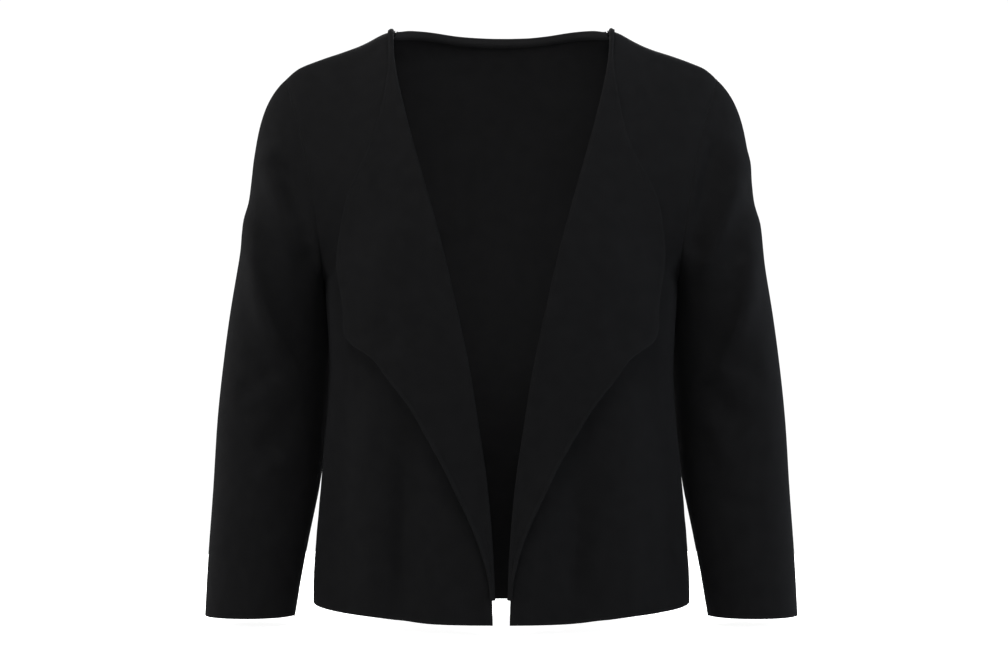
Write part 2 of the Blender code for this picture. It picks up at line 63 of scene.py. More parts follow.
CLOTH = 0.0016  # thickness of the double-faced knit
BAND_CLOTH = 0.0012  # and of the neck band
SHOULDER_TIP = (0.2025, 0.0, -0.0457)
UNDERARM = (0.1655, 0.0, -0.2355)
ARMHOLE_FRONT_DEPTH = 0.056
ARMHOLE_BACK_DEPTH = 0.060
ARMHOLE_DROOP = 0.35  # how far the widest place of the armhole's egg sits below its middle
ARMHOLE_HOLLOW = 1.75  # how quickly the armhole comes in from the shoulder tip
UNDERARM_SHARE = 0.42  # share of a row's length, from shoulder seam to hem, at which the armhole ends
NECK_HALF_WIDTH = 0.1005
BACK_NECK_DEPTH = 0.058  # how far behind the shoulder seams the neckline reaches
BACK_NECK_SQUARENESS = 2.3  # 2 would make the back neckline half an ellipse seen from above
NECK_LAST_SHARE = 0.3  # the neckline crosses every row of the back before this share
BAND_DEPTH = 0.009
BAND_REACH = 0.97  # share of the back neckline that the band follows
BAND_INSET = 0.0025  # from the back's outside to the band's top edge
BAND_SLOPE = 0.10  # how much further in its lower edge lies, for each metre down
BAND_UPRIGHT = 1.5  # how strongly the band turns upright where the back beneath it levels out
LAPEL_END_SHARE = 0.955  # where along the front the lapel runs out
LAPEL_CURL = 1.3  # over 1 the lapel lifts more towards its free edge
CAP_SHARE = 0.25  # how far down the sleeve its rings still take after the armhole's egg
FLUSH_ANGLE = math.radians(60)  # round the armhole, from its top, how far the sleeve leaves it flush
CREASED_ANGLE = math.radians(115)  # and from where it leaves it in a crease
SIDE_BLEND = 2  # how quickly the folds of a sleeve's front give way to those of its back
FOLD_END = 0.25  # share of a fold's length over which each of its ends fades
FOLD_CLEAR = 0.02  # distance from a seam within which the folds fade
STEP = 1e-3  # share, across value or angle over which a direction is measured
LONG_STEP = 0.01  # the same where the direction is that of a whole row's end
HALVINGS = 40  # of a range in which a place is searched for

# How a row falls from the middle to the side: outwards is the share of its half width, and kept is
# the share of its rise that is left there
ROW_FALL = table(
    "outwards kept",
    (0.00, 1.000), (0.25, 0.985), (0.33, 0.955), (0.40, 0.890), (0.45, 0.810), (0.50, 0.718),
    (0.54, 0.674), (0.60, 0.578), (0.70, 0.438), (0.80, 0.335), (0.90, 0.218), (0.95, 0.140),
    (1.00, 0.000),
)

# Side seam, from the underarm to the hem
SIDE_SEAM = table(
    "share half_width z",
    (0.420, 0.1655, -0.2355), (0.455, 0.1648, -0.2554), (0.490, 0.1633, -0.2750),
    (0.570, 0.1618, -0.3180), (0.660, 0.1640, -0.3650), (0.760, 0.1685, -0.4170),
    (0.870, 0.1735, -0.4740), (0.950, 0.1762, -0.5140), (1.000, 0.1766, -0.5362),
)

# Middle of each row, from the front hem at share -1 over the shoulder line at 0 to the back hem at 1.
# side_lead is the angle in degrees between a row's start and the straight-ahead direction.
MIDDLE = table(
    "share y z side_lead side_pull middle_pull",
    (-1.00, -0.1180, -0.5468, 0, 0.070, 0.110),
    (-0.85, -0.1140, -0.4760, 0, 0.068, 0.108),
    (-0.70, -0.1160, -0.4000, 0, 0.070, 0.104),
    (-0.55, -0.1230, -0.3200, 0, 0.074, 0.104),
    (-0.42, -0.1235, -0.2440, 0, 0.072, 0.104),
    (-0.36, -0.1190, -0.2000, 26, 0.060, 0.102),
    (-0.30, -0.1110, -0.1530, 50, 0.050, 0.098),
    (-0.20, -0.0880, -0.0720, 70, 0.050, 0.088),
    (-0.10, -0.0540, -0.0060, 80, 0.058, 0.078),
    (-0.05, -0.0300, 0.0145, 86, 0.064, 0.074),
    (0.00, 0.0000, 0.0175, 90, 0.070, 0.070),
    (0.05, 0.0310, 0.0155, 86, 0.064, 0.074),
    (0.10, 0.0565, 0.0010, 80, 0.058, 0.078),
    (0.20, 0.0840, -0.0680, 70, 0.050, 0.088),
    (0.30, 0.0980, -0.1500, 50, 0.048, 0.098),
    (0.36, 0.1000, -0.1980, 26, 0.052, 0.100),
    (0.42, 0.0980, -0.2420, 0, 0.058, 0.102),
    (0.55, 0.0870, -0.3190, 0, 0.054, 0.100),
    (0.70, 0.0790, -0.3980, 0, 0.048, 0.100),
    (0.85, 0.0830, -0.4730, 0, 0.050, 0.104),
    (1.00, 0.0920, -0.5422, 0, 0.056, 0.108),
)

# How far the band's top edge stands above the neckline, from the centre back to a shoulder seam
BAND = table(
    "spread rise",
    (0.00, 0.0004), (0.20, 0.0012), (0.40, 0.0025), (0.52, 0.0034), (0.66, 0.0042),
    (0.82, 0.0032), (1.00, 0.0020),
)

# Roll line and free edge of each lapel by height, how far the edge stands off, and the fold's radius
LAPEL = table(
    "z roll_x edge_x_right edge_x_left lift roll",
    (0.000, 0.1024, 0.1052, 0.1052, 0.0004, 0.0005),
    (-0.040, 0.0992, 0.1032, 0.1028, 0.0015, 0.0009),
    (-0.070, 0.0930, 0.1070, 0.1065, 0.0027, 0.0012),
    (-0.099, 0.0855, 0.1135, 0.1120, 0.0036, 0.0012),
    (-0.128, 0.0774, 0.1245, 0.1235, 0.0040, 0.0012),
    (-0.155, 0.0697, 0.1365, 0.1375, 0.0045, 0.0012),
    (-0.183, 0.0618, 0.1425, 0.1440, 0.0052, 0.0012),
    (-0.211, 0.0544, 0.1450, 0.1455, 0.0060, 0.0012),
    (-0.238, 0.0481, 0.1425, 0.1415, 0.0068, 0.0012),
    (-0.264, 0.0421, 0.1375, 0.1365, 0.0078, 0.0012),
    (-0.284, 0.0377, 0.1365, 0.1350, 0.0088, 0.0012),
    (-0.294, 0.0356, 0.1300, 0.1290, 0.0095, 0.0012),
    (-0.305, 0.0333, 0.1140, 0.1140, 0.0100, 0.0012),
    (-0.319, 0.0306, 0.1020, 0.1025, 0.0105, 0.0012),
    (-0.346, 0.0262, 0.0815, 0.0825, 0.0115, 0.0012),
    (-0.373, 0.0221, 0.0665, 0.0675, 0.0115, 0.0012),
    (-0.400, 0.0179, 0.0525, 0.0520, 0.0110, 0.0012),
    (-0.427, 0.0146, 0.0405, 0.0395, 0.0100, 0.0012),
    (-0.454, 0.0120, 0.0285, 0.0275, 0.0085, 0.0012),
    (-0.481, 0.0102, 0.0185, 0.0180, 0.0066, 0.0012),
    (-0.508, 0.0087, 0.0118, 0.0116, 0.0044, 0.0012),
    (-0.549, 0.0075, 0.0100, 0.0100, 0.0030, 0.0012),
)

# Sleeve rings, from armhole to cuff: outer and inner end, then half the depth from front to back
SLEEVE = table(
    "share outer_x outer_y outer_z inner_x inner_y inner_z half_depth droop",
    (0.00, 0.2025, 0.002, -0.0457, 0.1657, 0.002, -0.2355, 0.0580, 0.35),
    (0.05, 0.2135, 0.003, -0.0655, 0.1660, 0.006, -0.2410, 0.0600, 0.30),
    (0.11, 0.2244, 0.004, -0.0950, 0.1658, 0.011, -0.2480, 0.0615, 0.24),
    (0.19, 0.2343, 0.006, -0.1430, 0.1647, 0.018, -0.2600, 0.0615, 0.16),
    (0.29, 0.2438, 0.008, -0.1980, 0.1627, 0.026, -0.2800, 0.0605, 0.08),
    (0.40, 0.2546, 0.011, -0.2580, 0.1614, 0.031, -0.3100, 0.0585, 0.02),
    (0.51, 0.2626, 0.013, -0.3150, 0.1630, 0.032, -0.3460, 0.0560, 0.00),
    (0.62, 0.2682, 0.013, -0.3700, 0.1664, 0.028, -0.3880, 0.0530, 0.00),
    (0.73, 0.2712, 0.009, -0.4250, 0.1727, 0.018, -0.4330, 0.0490, 0.00),
    (0.86, 0.2748, 0.000, -0.4870, 0.1834, 0.003, -0.4890, 0.0435, 0.00),
    (1.00, 0.2772, -0.010, -0.5480, 0.1930, -0.010, -0.5480, 0.0385, 0.00),
)

# The main folds, which the solids have too
FOLD_COLUMNS = "facing x_1 z_1 x_2 z_2 width height"
BODY_FOLDS = {
    1: table(
        FOLD_COLUMNS,
        (-1, 0.072, -0.360, 0.064, -0.560, 0.022, -0.0050),
        (-1, 0.112, -0.330, 0.120, -0.560, 0.026, 0.0040),
        (1, 0.150, -0.250, 0.090, -0.360, 0.024, 0.0030),
        (1, 0.120, -0.130, 0.060, -0.210, 0.024, -0.0025),
        (1, 0.080, -0.400, 0.088, -0.560, 0.028, 0.0035),
    ),
    -1: table(
        FOLD_COLUMNS,
        (-1, 0.088, -0.370, 0.090, -0.560, 0.018, -0.0055),
        (-1, 0.122, -0.340, 0.118, -0.560, 0.024, 0.0040),
        (1, 0.150, -0.260, 0.100, -0.370, 0.024, 0.0030),
        (1, 0.110, -0.120, 0.055, -0.190, 0.024, -0.0025),
        (1, 0.066, -0.390, 0.074, -0.560, 0.028, 0.0030),
    ),
}
SLEEVE_FOLDS = {
    1: table(
        FOLD_COLUMNS,
        (-1, 0.226, -0.115, 0.184, -0.228, 0.014, 0.0060),
        (-1, 0.196, -0.110, 0.178, -0.210, 0.012, -0.0050),
        (-1, 0.238, -0.170, 0.214, -0.290, 0.014, 0.0045),
        (-1, 0.186, -0.330, 0.226, -0.370, 0.014, -0.0035),
        (1, 0.228, -0.130, 0.184, -0.250, 0.016, 0.0045),
        (1, 0.200, -0.120, 0.178, -0.225, 0.013, -0.0045),
        (1, 0.190, -0.340, 0.240, -0.320, 0.015, -0.0030),
    ),
    -1: table(
        FOLD_COLUMNS,
        (-1, 0.220, -0.115, 0.182, -0.205, 0.014, 0.0060),
        (-1, 0.200, -0.130, 0.176, -0.235, 0.012, -0.0055),
        (-1, 0.236, -0.165, 0.206, -0.300, 0.014, 0.0045),
        (-1, 0.184, -0.345, 0.222, -0.395, 0.014, -0.0030),
        (1, 0.224, -0.140, 0.186, -0.260, 0.016, 0.0045),
        (1, 0.198, -0.115, 0.176, -0.215, 0.013, -0.0045),
        (1, 0.192, -0.350, 0.236, -0.335, 0.015, -0.0030),
    ),
}

# ---------------------------------------------------------------------------------------------------
# Sizes of the finer form
# ---------------------------------------------------------------------------------------------------

# Creases, as seen from the front or back: the line they run along, how far the cloth's
# rise or dip reaches towards the middle of the garment and away from it, and its height.
CREASE_COLUMNS = "facing path inner_width outer_width height"
BODY_CREASES = {
    1: table(
        CREASE_COLUMNS,
        (-1, ((0.150, -0.215), (0.125, -0.250), (0.100, -0.262)), 0.008, 0.012, -0.0024),
        (-1, ((0.156, -0.262), (0.130, -0.290), (0.104, -0.330)), 0.010, 0.014, 0.0018),
        (-1, ((0.070, -0.385), (0.068, -0.470), (0.062, -0.545)), 0.018, 0.011, -0.0050),
        (-1, ((0.150, -0.380), (0.154, -0.460), (0.150, -0.545)), 0.011, 0.011, -0.0021),
        (1, ((0.160, -0.230), (0.125, -0.262), (0.080, -0.276)), 0.009, 0.014, -0.0027),
        (1, ((0.150, -0.300), (0.110, -0.340), (0.052, -0.352)), 0.010, 0.016, 0.0021),
        (1, ((0.030, -0.330), (0.026, -0.430), (0.034, -0.540)), 0.014, 0.016, 0.0024),
        (1, ((0.120, -0.420), (0.128, -0.480), (0.124, -0.545)), 0.010, 0.014, -0.0024),
    ),
    -1: table(
        CREASE_COLUMNS,
        (-1, ((0.152, -0.205), (0.132, -0.240), (0.106, -0.258)), 0.009, 0.012, -0.0021),
        (-1, ((0.154, -0.270), (0.136, -0.300), (0.118, -0.345)), 0.009, 0.014, 0.0018),
        (-1, ((0.086, -0.375), (0.090, -0.460), (0.092, -0.545)), 0.020, 0.009, -0.0052),
        (-1, ((0.148, -0.360), (0.150, -0.450), (0.156, -0.545)), 0.011, 0.012, -0.0018),
        (1, ((0.158, -0.236), (0.130, -0.272), (0.090, -0.296)), 0.009, 0.014, -0.0027),
        (1, ((0.146, -0.320), (0.108, -0.352), (0.048, -0.358)), 0.010, 0.016, 0.0018),
        (1, ((0.030, -0.360), (0.040, -0.450), (0.036, -0.540)), 0.014, 0.016, -0.0021),
        (1, ((0.112, -0.400), (0.120, -0.470), (0.116, -0.545)), 0.010, 0.014, 0.0024),
    ),
}
LAPEL_CREASES = {
    1: table(
        CREASE_COLUMNS,
        (-1, ((0.112, -0.240), (0.104, -0.275), (0.100, -0.312)), 0.012, 0.014, -0.0018),
        (-1, ((0.072, -0.150), (0.092, -0.200), (0.100, -0.240)), 0.014, 0.014, 0.0018),
    ),
    -1: table(
        CREASE_COLUMNS,
        (-1, ((0.098, -0.262), (0.099, -0.285), (0.096, -0.308)), 0.010, 0.012, -0.0024),
        (-1, ((0.080, -0.160), (0.096, -0.205), (0.118, -0.236)), 0.014, 0.014, 0.0018),
    ),
}
SLEEVE_CREASES = {
    1: table(
        CREASE_COLUMNS,
        (-1, ((0.232, -0.160), (0.226, -0.222), (0.221, -0.266), (0.208, -0.304),
              (0.190, -0.366)), 0.006, 0.015, 0.0050),
        (-1, ((0.223, -0.128), (0.204, -0.168), (0.176, -0.214)), 0.006, 0.010, 0.0030),
        (-1, ((0.206, -0.150), (0.192, -0.190), (0.172, -0.232)), 0.006, 0.007, -0.0036),
        (-1, ((0.200, -0.300), (0.224, -0.318), (0.250, -0.322)), 0.008, 0.010, -0.0024),
        (-1, ((0.176, -0.350), (0.196, -0.372), (0.212, -0.410)), 0.009, 0.010, 0.0021),
        (-1, ((0.196, -0.430), (0.222, -0.446), (0.246, -0.442)), 0.009, 0.012, -0.0015),
        (1, ((0.230, -0.180), (0.212, -0.230), (0.184, -0.272)), 0.008, 0.011, 0.0024),
        (1, ((0.178, -0.310), (0.206, -0.330), (0.240, -0.326)), 0.009, 0.013, -0.0018),
        (1, ((0.182, -0.352), (0.212, -0.362), (0.244, -0.348)), 0.009, 0.013, 0.0012),
        (1, ((0.190, -0.420), (0.220, -0.436), (0.250, -0.430)), 0.009, 0.012, -0.0018),
    ),
    -1: table(
        CREASE_COLUMNS,
        (-1, ((0.230, -0.140), (0.225, -0.205), (0.218, -0.256), (0.204, -0.292),
              (0.189, -0.330), (0.180, -0.400)), 0.006, 0.015, 0.0056),
        (-1, ((0.215, -0.118), (0.195, -0.168), (0.174, -0.196)), 0.006, 0.010, 0.0030),
        (-1, ((0.202, -0.140), (0.186, -0.178), (0.171, -0.210)), 0.005, 0.007, -0.0036),
        (-1, ((0.206, -0.308), (0.226, -0.330), (0.250, -0.340)), 0.008, 0.010, -0.0024),
        (-1, ((0.184, -0.392), (0.208, -0.410), (0.236, -0.408)), 0.009, 0.011, 0.0018),
        (-1, ((0.198, -0.456), (0.224, -0.468), (0.252, -0.462)), 0.009, 0.012, -0.0015),
        (1, ((0.228, -0.170), (0.208, -0.226), (0.182, -0.262)), 0.008, 0.011, 0.0024),
        (1, ((0.178, -0.318), (0.208, -0.342), (0.240, -0.342)), 0.009, 0.013, -0.0018),
        (1, ((0.182, -0.366), (0.210, -0.376), (0.242, -0.366)), 0.009, 0.013, 0.0012),
        (1, ((0.192, -0.440), (0.222, -0.452), (0.252, -0.448)), 0.009, 0.012, -0.0018),
    ),
}
CREASE_END = 0.35  # share of a crease's length over which each end fades
CREASE_STEPS = 14  # straight steps in which a crease's line is followed
CREASE_UNEVEN = 0.35  # how much a crease's height changes along it
CREASE_CHANGES = 4  # and how often
SIDE_CLEAR = 0.45  # sine of the angle from a sleeve's outer or inner line at which its folds are full

# Soft unevenness of hanging cloth: how wide, long and high its swellings are
SWELLINGS = table(
    "across along height",
    (0.060, 0.110, 0.0011),
    (0.026, 0.040, 0.0004),
    (0.009, 0.012, 0.00010),
)

SEAM_GAP = 0.00015  # the sewn pieces lie closer here than their solids do
SEAM_SINK = 0.0004  # how far both edges of a seam dip
SEAM_SOFT = 0.0030  # and the distance over which they do
PUCKER_REACH = 0.014
PUCKER_HEIGHT = 0.0005
PUCKER_SPACING = 0.013
ARMHOLE_RADIUS = 0.06  # turns the angle round the armhole into a length, for its puckers

# First seed of each kind of unevenness
SWELLING_SEED, CREASE_SEED = 10, 40
SIDE_SEED, SHOULDER_SEED, ARMHOLE_SEED, UNDERARM_SEED = 60, 64, 70, 74
BODY_STITCH_SEED, SLEEVE_STITCH_SEED = 11, 21
FACING_SEEDS = 3  # between the seeds of front and middle, and of middle and back
SIZE_SEEDS = 20  # between the seeds of one size of swelling and the next
PATTERN = 256  # rows and columns after which the unevenness repeats
PATTERN_START = 50  # row and column of it that lie at the garment's origin

EDGE_REACH = 0.0030  # width of the firm border that the free edges have
EDGE_SWELL = 0.10  # how much thicker the cloth is there, as a share
EDGE_SWELL_END = 1.5  # distance from the edge at which the swelling ends, in border widths
EDGE_GROOVE = 0.0014  # width of the groove beside it
EDGE_GROOVE_PLACE = 1.35  # its distance from the edge, in border widths
EDGE_GROOVE_DEPTH = 0.20  # and its depth, as a share of the thickness

LAPEL_WAVE = 0.0011
LAPEL_WAVE_LENGTH = 0.145
LAPEL_WAVE_START = 0.004  # lift of the free edge at which the lapel starts to wave
LAPEL_WAVE_RISE = 0.003  # and how much more lift the full wave takes
LAPEL_SWELLING = 0.5  # share of the body's swellings that the lapel has
LAPEL_CREASES_IN = 3  # how quickly its creases set in behind the fold
LAPEL_FOLLOWS = 4  # and how quickly it stops following the seam and creases at its roll line
LAPEL_HEM_SHARE = 0.9  # past this share the lapel's lower end counts as a free edge

# How finely each piece is divided
ROWS, FRONT_COLUMNS, BACK_COLUMNS = 250, 80, 94  # of the body; the back's columns are those of one half
FOLD_STEPS, LAPEL_COLUMNS = 10, 46
SLEEVE_ROWS, SLEEVE_COLUMNS = 220, 140
BAND_ROWS, BAND_COLUMNS = 6, 120
RIM_STEPS = 4
NECK_COLUMN_SHARE = 0.5  # share of the back's columns, from its centre, that end at the neckline
SEAM_ROUNDING = 0.00020  # how far an edge is rounded off, at a seam and where it is free
FREE_ROUNDING = 0.00055
ROW_POINTS = 64  # of a body's row, for its length
BACK_JOIN_COLUMNS = 14  # on each side of the centre back, over which the two halves are made one
ROW_REACH = 0.015  # share over which the slope of a row is taken, away from the seams
ROW_REACH_FULL = 0.25  # how far across the body that reach is full
EASED_REACH = 0.035  # share on each side of the underarm's row in which its bend is softened
EASED_INSET = 0.030  # distance from the seam at which it is softened in full
EASINGS = 70
MERGED_PER_METRE = 1e6  # points that agree to this many parts of a metre are one
TINY = 1e-12

SHOULDER_POINTS, ARMHOLE_POINTS, LONG_SEAM_POINTS = 60, 240, 90
SEAM_CORD_WIDTH = 0.0016  # half the width of the sewn ridge inside each seam
SEAM_CORD_HEIGHT = 0.0009  # half its height
SEAM_CORD_SINK = 0.8  # how far its middle lies below the cloth's inside, in half heights
SEAM_CORD_END = 0.4  # size of its end rings
SEAM_CORD_SPACING = 0.004
SEAM_CORD_STEPS = 8
STITCH_SPACING = 0.0022
STITCH_LENGTH = 0.0023
STITCH_WIDTH = 0.00042
STITCH_SINK = 0.3  # how far a stitch's middle lies below the seam, in stitch widths
STITCH_ASIDE = 1.1  # distance of each leg from the seam, in stitch widths
STITCH_SPLAY = 24  # degrees between a stitch's leg and the seam
STITCH_UNEVEN = 0.12
STITCH_SIDES, STITCH_RINGS = 6, 5


def spline(knots, values):
    """The natural cubic spline through values at knots, as a function of an array."""
    x, y = np.array(knots, float), np.array(values, float)
    if x[0] > x[-1]:
        x, y = x[::-1], y[::-1]
    gap = np.diff(x)
    count = len(x)
    matrix, right = np.eye(count), np.zeros(count)
    for i in range(1, count - 1):
        matrix[i, i - 1 : i + 2] = gap[i - 1], 2 * (gap[i - 1] + gap[i]), gap[i]
        right[i] = 6 * ((y[i + 1] - y[i]) / gap[i] - (y[i] - y[i - 1]) / gap[i - 1])
    bend = np.linalg.solve(matrix, right)

    def at(value):
        value = np.clip(value, x[0], x[-1])
        i = np.clip(np.searchsorted(x, value) - 1, 0, count - 2)
        left, after, step = x[i + 1] - value, value - x[i], gap[i]
        return (
            (bend[i] * left**3 + bend[i + 1] * after**3) / (6 * step)
            + (y[i] / step - bend[i] * step / 6) * left
            + (y[i + 1] / step - bend[i + 1] * step / 6) * after
        )

    return at


def columns(rows):
    """Each column of a table after its first, as a spline over the first."""
    names = rows[0]._fields
    knots = [row[0] for row in rows]
    return {
        name: spline(knots, [row[k] for row in rows]) for k, name in enumerate(names) if k
    }


side_seam = columns(SIDE_SEAM)
middle = columns(MIDDLE)
lapel = columns(LAPEL)
band = columns(BAND)
sleeve = columns(SLEEVE)
row_fall = columns(
    [row._replace(outwards=-row.outwards) for row in reversed(ROW_FALL[1:])] + list(ROW_FALL)
)["kept"]


def smooth(value):
    """0 up to 0, 1 from 1 on, and an even S between."""
    value = np.clip(value, 0.0, 1.0)
    return value * value * (3 - 2 * value)


def unit(vectors):
    return vectors / np.maximum(np.linalg.norm(vectors, axis=-1, keepdims=True), TINY)


def lengths(vectors):
    return np.linalg.norm(vectors, axis=-1)


def solve(function, low, high):
    """Where function crosses zero between the arrays low and high."""
    rising = function(high) > function(low)
    for _ in range(HALVINGS):
        halfway = (low + high) / 2
        beyond = (function(halfway) > 0) == rising
        high = np.where(beyond, halfway, high)
        low = np.where(beyond, low, halfway)
    return (low + high) / 2


def uneven(u, v, seed):
    """Soft noise from -1 to 1, one swelling for each whole number of u and v."""
    heights = np.random.default_rng(seed).uniform(-1, 1, (PATTERN, PATTERN))
    column, row = np.floor(u).astype(int), np.floor(v).astype(int)
    right, down = smooth(u - column), smooth(v - row)

    def corner(i, j):
        return heights[(row + j) % PATTERN, (column + i) % PATTERN]

    top = corner(0, 0) * (1 - right) + corner(1, 0) * right
    bottom = corner(0, 1) * (1 - right) + corner(1, 1) * right
    return top * (1 - down) + bottom * down


def fold_height(folds, points, facing):
    """How far the main folds move the cloth out at points."""
    x, z = points[..., 0], points[..., 2]
    height = np.zeros(x.shape)
    for row in folds:
        if row.facing != facing:
            continue
        run_x, run_z = row.x_2 - row.x_1, row.z_2 - row.z_1
        length = math.hypot(run_x, run_z)
        along = ((x - row.x_1) * run_x + (z - row.z_1) * run_z) / length**2
        aside = ((x - row.x_1) * run_z - (z - row.z_1) * run_x) / length
        ends = smooth(along / FOLD_END + 0.5) * smooth((1 - along) / FOLD_END + 0.5)
        height += row.height * ends * np.exp(-((aside / row.width) ** 2))
    return height


def crease_height(creases, points, facing):
    """How far the listed creases move the cloth out at points."""
    x, z = points[..., 0], points[..., 2]
    height = np.zeros(x.shape)
    for number, crease in enumerate(creases):
        if crease.facing != facing:
            continue
        knots = np.linspace(0, 1, len(crease.path))
        places = np.linspace(0, 1, CREASE_STEPS + 1)
        line_x = spline(knots, [place[0] for place in crease.path])(places)
        line_z = spline(knots, [place[1] for place in crease.path])(places)
        nearest = np.full(x.shape, np.inf)
        along, aside = np.zeros(x.shape), np.zeros(x.shape)
        for i in range(CREASE_STEPS):
            run_x, run_z = line_x[i + 1] - line_x[i], line_z[i + 1] - line_z[i]
            length = math.hypot(run_x, run_z)
            share = ((x - line_x[i]) * run_x + (z - line_z[i]) * run_z) / length**2
            share = np.clip(share, 0, 1)
            off_x, off_z = x - line_x[i] - share * run_x, z - line_z[i] - share * run_z
            away = np.hypot(off_x, off_z)
            closer = away < nearest
            nearest = np.where(closer, away, nearest)
            along = np.where(closer, (i + share) / CREASE_STEPS, along)
            aside = np.where(closer, off_x * abs(run_z) + off_z * run_x * np.sign(-run_z), aside)
        width = np.where(aside > 0, crease.outer_width, crease.inner_width)
        ends = smooth(along / CREASE_END) * smooth((1 - along) / CREASE_END)
        change = uneven(along * CREASE_CHANGES, np.full(x.shape, 0.5), CREASE_SEED + number)
        height += crease.height * ends * (1 + CREASE_UNEVEN * change) * np.exp(-((nearest / width) ** 2))
    return height


# ---------------------------------------------------------------------------------------------------
# Form of the body
# ---------------------------------------------------------------------------------------------------


def armhole_point(angle, facing):
    """Point of the armhole at angle, 0 at the shoulder tip and pi at the underarm."""
    height = (1 + np.cos(angle)) / 2
    depth = np.where(np.asarray(facing) < 0, ARMHOLE_FRONT_DEPTH, ARMHOLE_BACK_DEPTH)
    return np.stack(np.broadcast_arrays(
        UNDERARM[0] + (SHOULDER_TIP[0] - UNDERARM[0]) * height**ARMHOLE_HOLLOW,
        facing * depth * np.sin(angle - ARMHOLE_DROOP * np.sin(angle)),
        UNDERARM[2] + (SHOULDER_TIP[2] - UNDERARM[2]) * height,
    ), axis=-1)


def outer_rail(share, facing):
    """The armhole down to the underarm, then the side seam down to the hem."""
    armhole = armhole_point(math.pi * np.minimum(share / UNDERARM_SHARE, 1.0), facing)
    seam = np.stack(np.broadcast_arrays(
        side_seam["half_width"](share), 0.0, side_seam["z"](share)
    ), axis=-1)
    return np.where((share < UNDERARM_SHARE)[..., None], armhole, seam)


def body_point(share, across, facing):
    """Point of the body on its +X half: share runs from shoulder seam to hem, and across from the
    outer rail to the middle."""
    share, across, facing = np.broadcast_arrays(np.asarray(share, float), across, facing)
    outer = outer_rail(share, facing)
    row = {name: at(facing * share) for name, at in middle.items()}
    lead = np.radians(np.clip(row["side_lead"], 0.0, 90.0))
    pulled_x = outer[..., 0] - row["side_pull"] * np.sin(lead)
    pulled_y = outer[..., 1] + facing * row["side_pull"] * np.cos(lead)
    t, s = across, 1 - across
    side, beside, before, at_middle = s**3, 3 * s * s * t, 3 * s * t * t, t**3
    x = side * outer[..., 0] + beside * pulled_x + before * row["middle_pull"]
    y = side * outer[..., 1] + beside * pulled_y + (before + at_middle) * row["y"]
    kept = row_fall(x / outer[..., 0])
    return np.stack((x, y, outer[..., 2] + (row["z"] - outer[..., 2]) * kept), axis=-1)


def body_normal(share, across, facing):
    """Outward direction of the body's surface at body_point."""
    share, across, facing = np.broadcast_arrays(np.asarray(share, float), across, facing)
    reach = STEP + (ROW_REACH - STEP) * smooth(across / ROW_REACH_FULL)
    above, below = np.maximum(share - reach, 0.0), np.minimum(share + reach, 1.0)
    down = body_point(below, across, facing) - body_point(above, across, facing)
    low, high = np.maximum(across - STEP, 0.0), np.minimum(across + STEP, 1.0)
    inwards = body_point(share, high, facing) - body_point(share, low, facing)
    return unit(np.cross(down, inwards)) * facing[..., None]


def across_at(share, facing, x_of_z):
    """How far across a row the body reaches the half width that x_of_z gives for its height."""

    def beyond(across):
        point = body_point(share, across, facing)
        return point[..., 0] - x_of_z(point[..., 2])

    return solve(beyond, np.zeros(np.shape(share)), np.ones(np.shape(share)))


def eased(points, share, from_seam):
    """Rows of points with the bend that each column has in the underarm's row softened."""
    near = np.exp(-(((share - UNDERARM_SHARE) / EASED_REACH) ** 2))
    weight = (near * smooth(from_seam / EASED_INSET))[1:-1, :, None] / 2
    for _ in range(EASINGS):
        between = (points[:-2] + points[2:]) / 2
        points = np.concatenate(
            [points[:1], points[1:-1] + (between - points[1:-1]) * weight, points[-1:]]
        )
    return points


def seam_dip(distance, run, seed):
    """How far a seam at that distance moves the cloth: it sinks, with small puckers beside it."""
    shade_in_hollows = -SEAM_SINK * np.exp(-((distance / SEAM_SOFT) ** 2))
    beside = (distance / PUCKER_REACH) * np.exp(1 - distance / PUCKER_REACH)
    pucker = uneven(run / PUCKER_SPACING, np.full(run.shape, 0.5), seed)
    return shade_in_hollows + PUCKER_HEIGHT * pucker * beside * np.exp(-distance / PUCKER_REACH)


def swelling(points, facing, side):
    """Soft unevenness of the cloth, another on each side and on front and back."""
    seed = SWELLING_SEED + facing * FACING_SEEDS + side
    out = np.zeros(points.shape[:-1])
    for number, size in enumerate(SWELLINGS):
        u = points[..., 0] / size.across + PATTERN_START
        v = points[..., 2] / size.along + PATTERN_START
        out += size.height * uneven(u, v, seed + SIZE_SEEDS * number)
    return out


def cloth_point(share, across, facing, side, lift=0.0, creases=True):
    """Point of the body's cloth with its folds, creases and seams, lifted off it."""
    point = body_point(share, across, facing)
    normal = body_normal(share, across, facing)
    edge = lengths(point - body_point(share, 0.0, facing))
    shoulder = lengths(point - body_point(0.0, across, facing))
    clear = smooth(edge / FOLD_CLEAR)
    out = fold_height(BODY_FOLDS[side], point, facing) * clear
    if creases:
        out = out + crease_height(BODY_CREASES[side], point, facing) * clear
        out = out + swelling(point, facing, side) * smooth(np.minimum(edge, shoulder) / FOLD_CLEAR)
        out = out + seam_dip(edge, point[..., 2], SIDE_SEED + side)
        out = out + seam_dip(shoulder, point[..., 0], SHOULDER_SEED + side)
    moved = point + normal * (out + lift)[..., None]
    moved[..., 1] += np.where(np.asarray(share) == 0.0, facing * SEAM_GAP / 2, 0.0)
    return moved


def seam_start(share, facing):
    """Across value at which the cloth starts, half the seam's gap away from the outer rail."""
    half_row = body_point(share, 0.5, facing) - body_point(share, 0.0, facing)
    return SEAM_GAP / 4 / lengths(half_row)


# ---------------------------------------------------------------------------------------------------
# Cloth as walls with rounded edges
# ---------------------------------------------------------------------------------------------------


def arc(points, axis):
    """Distance run along a grid of points from its first row or column."""
    step = lengths(np.diff(points, axis=axis))
    start = np.zeros_like(np.take(step, [0], axis=axis))
    return np.concatenate([start, np.cumsum(step, axis=axis)], axis=axis)


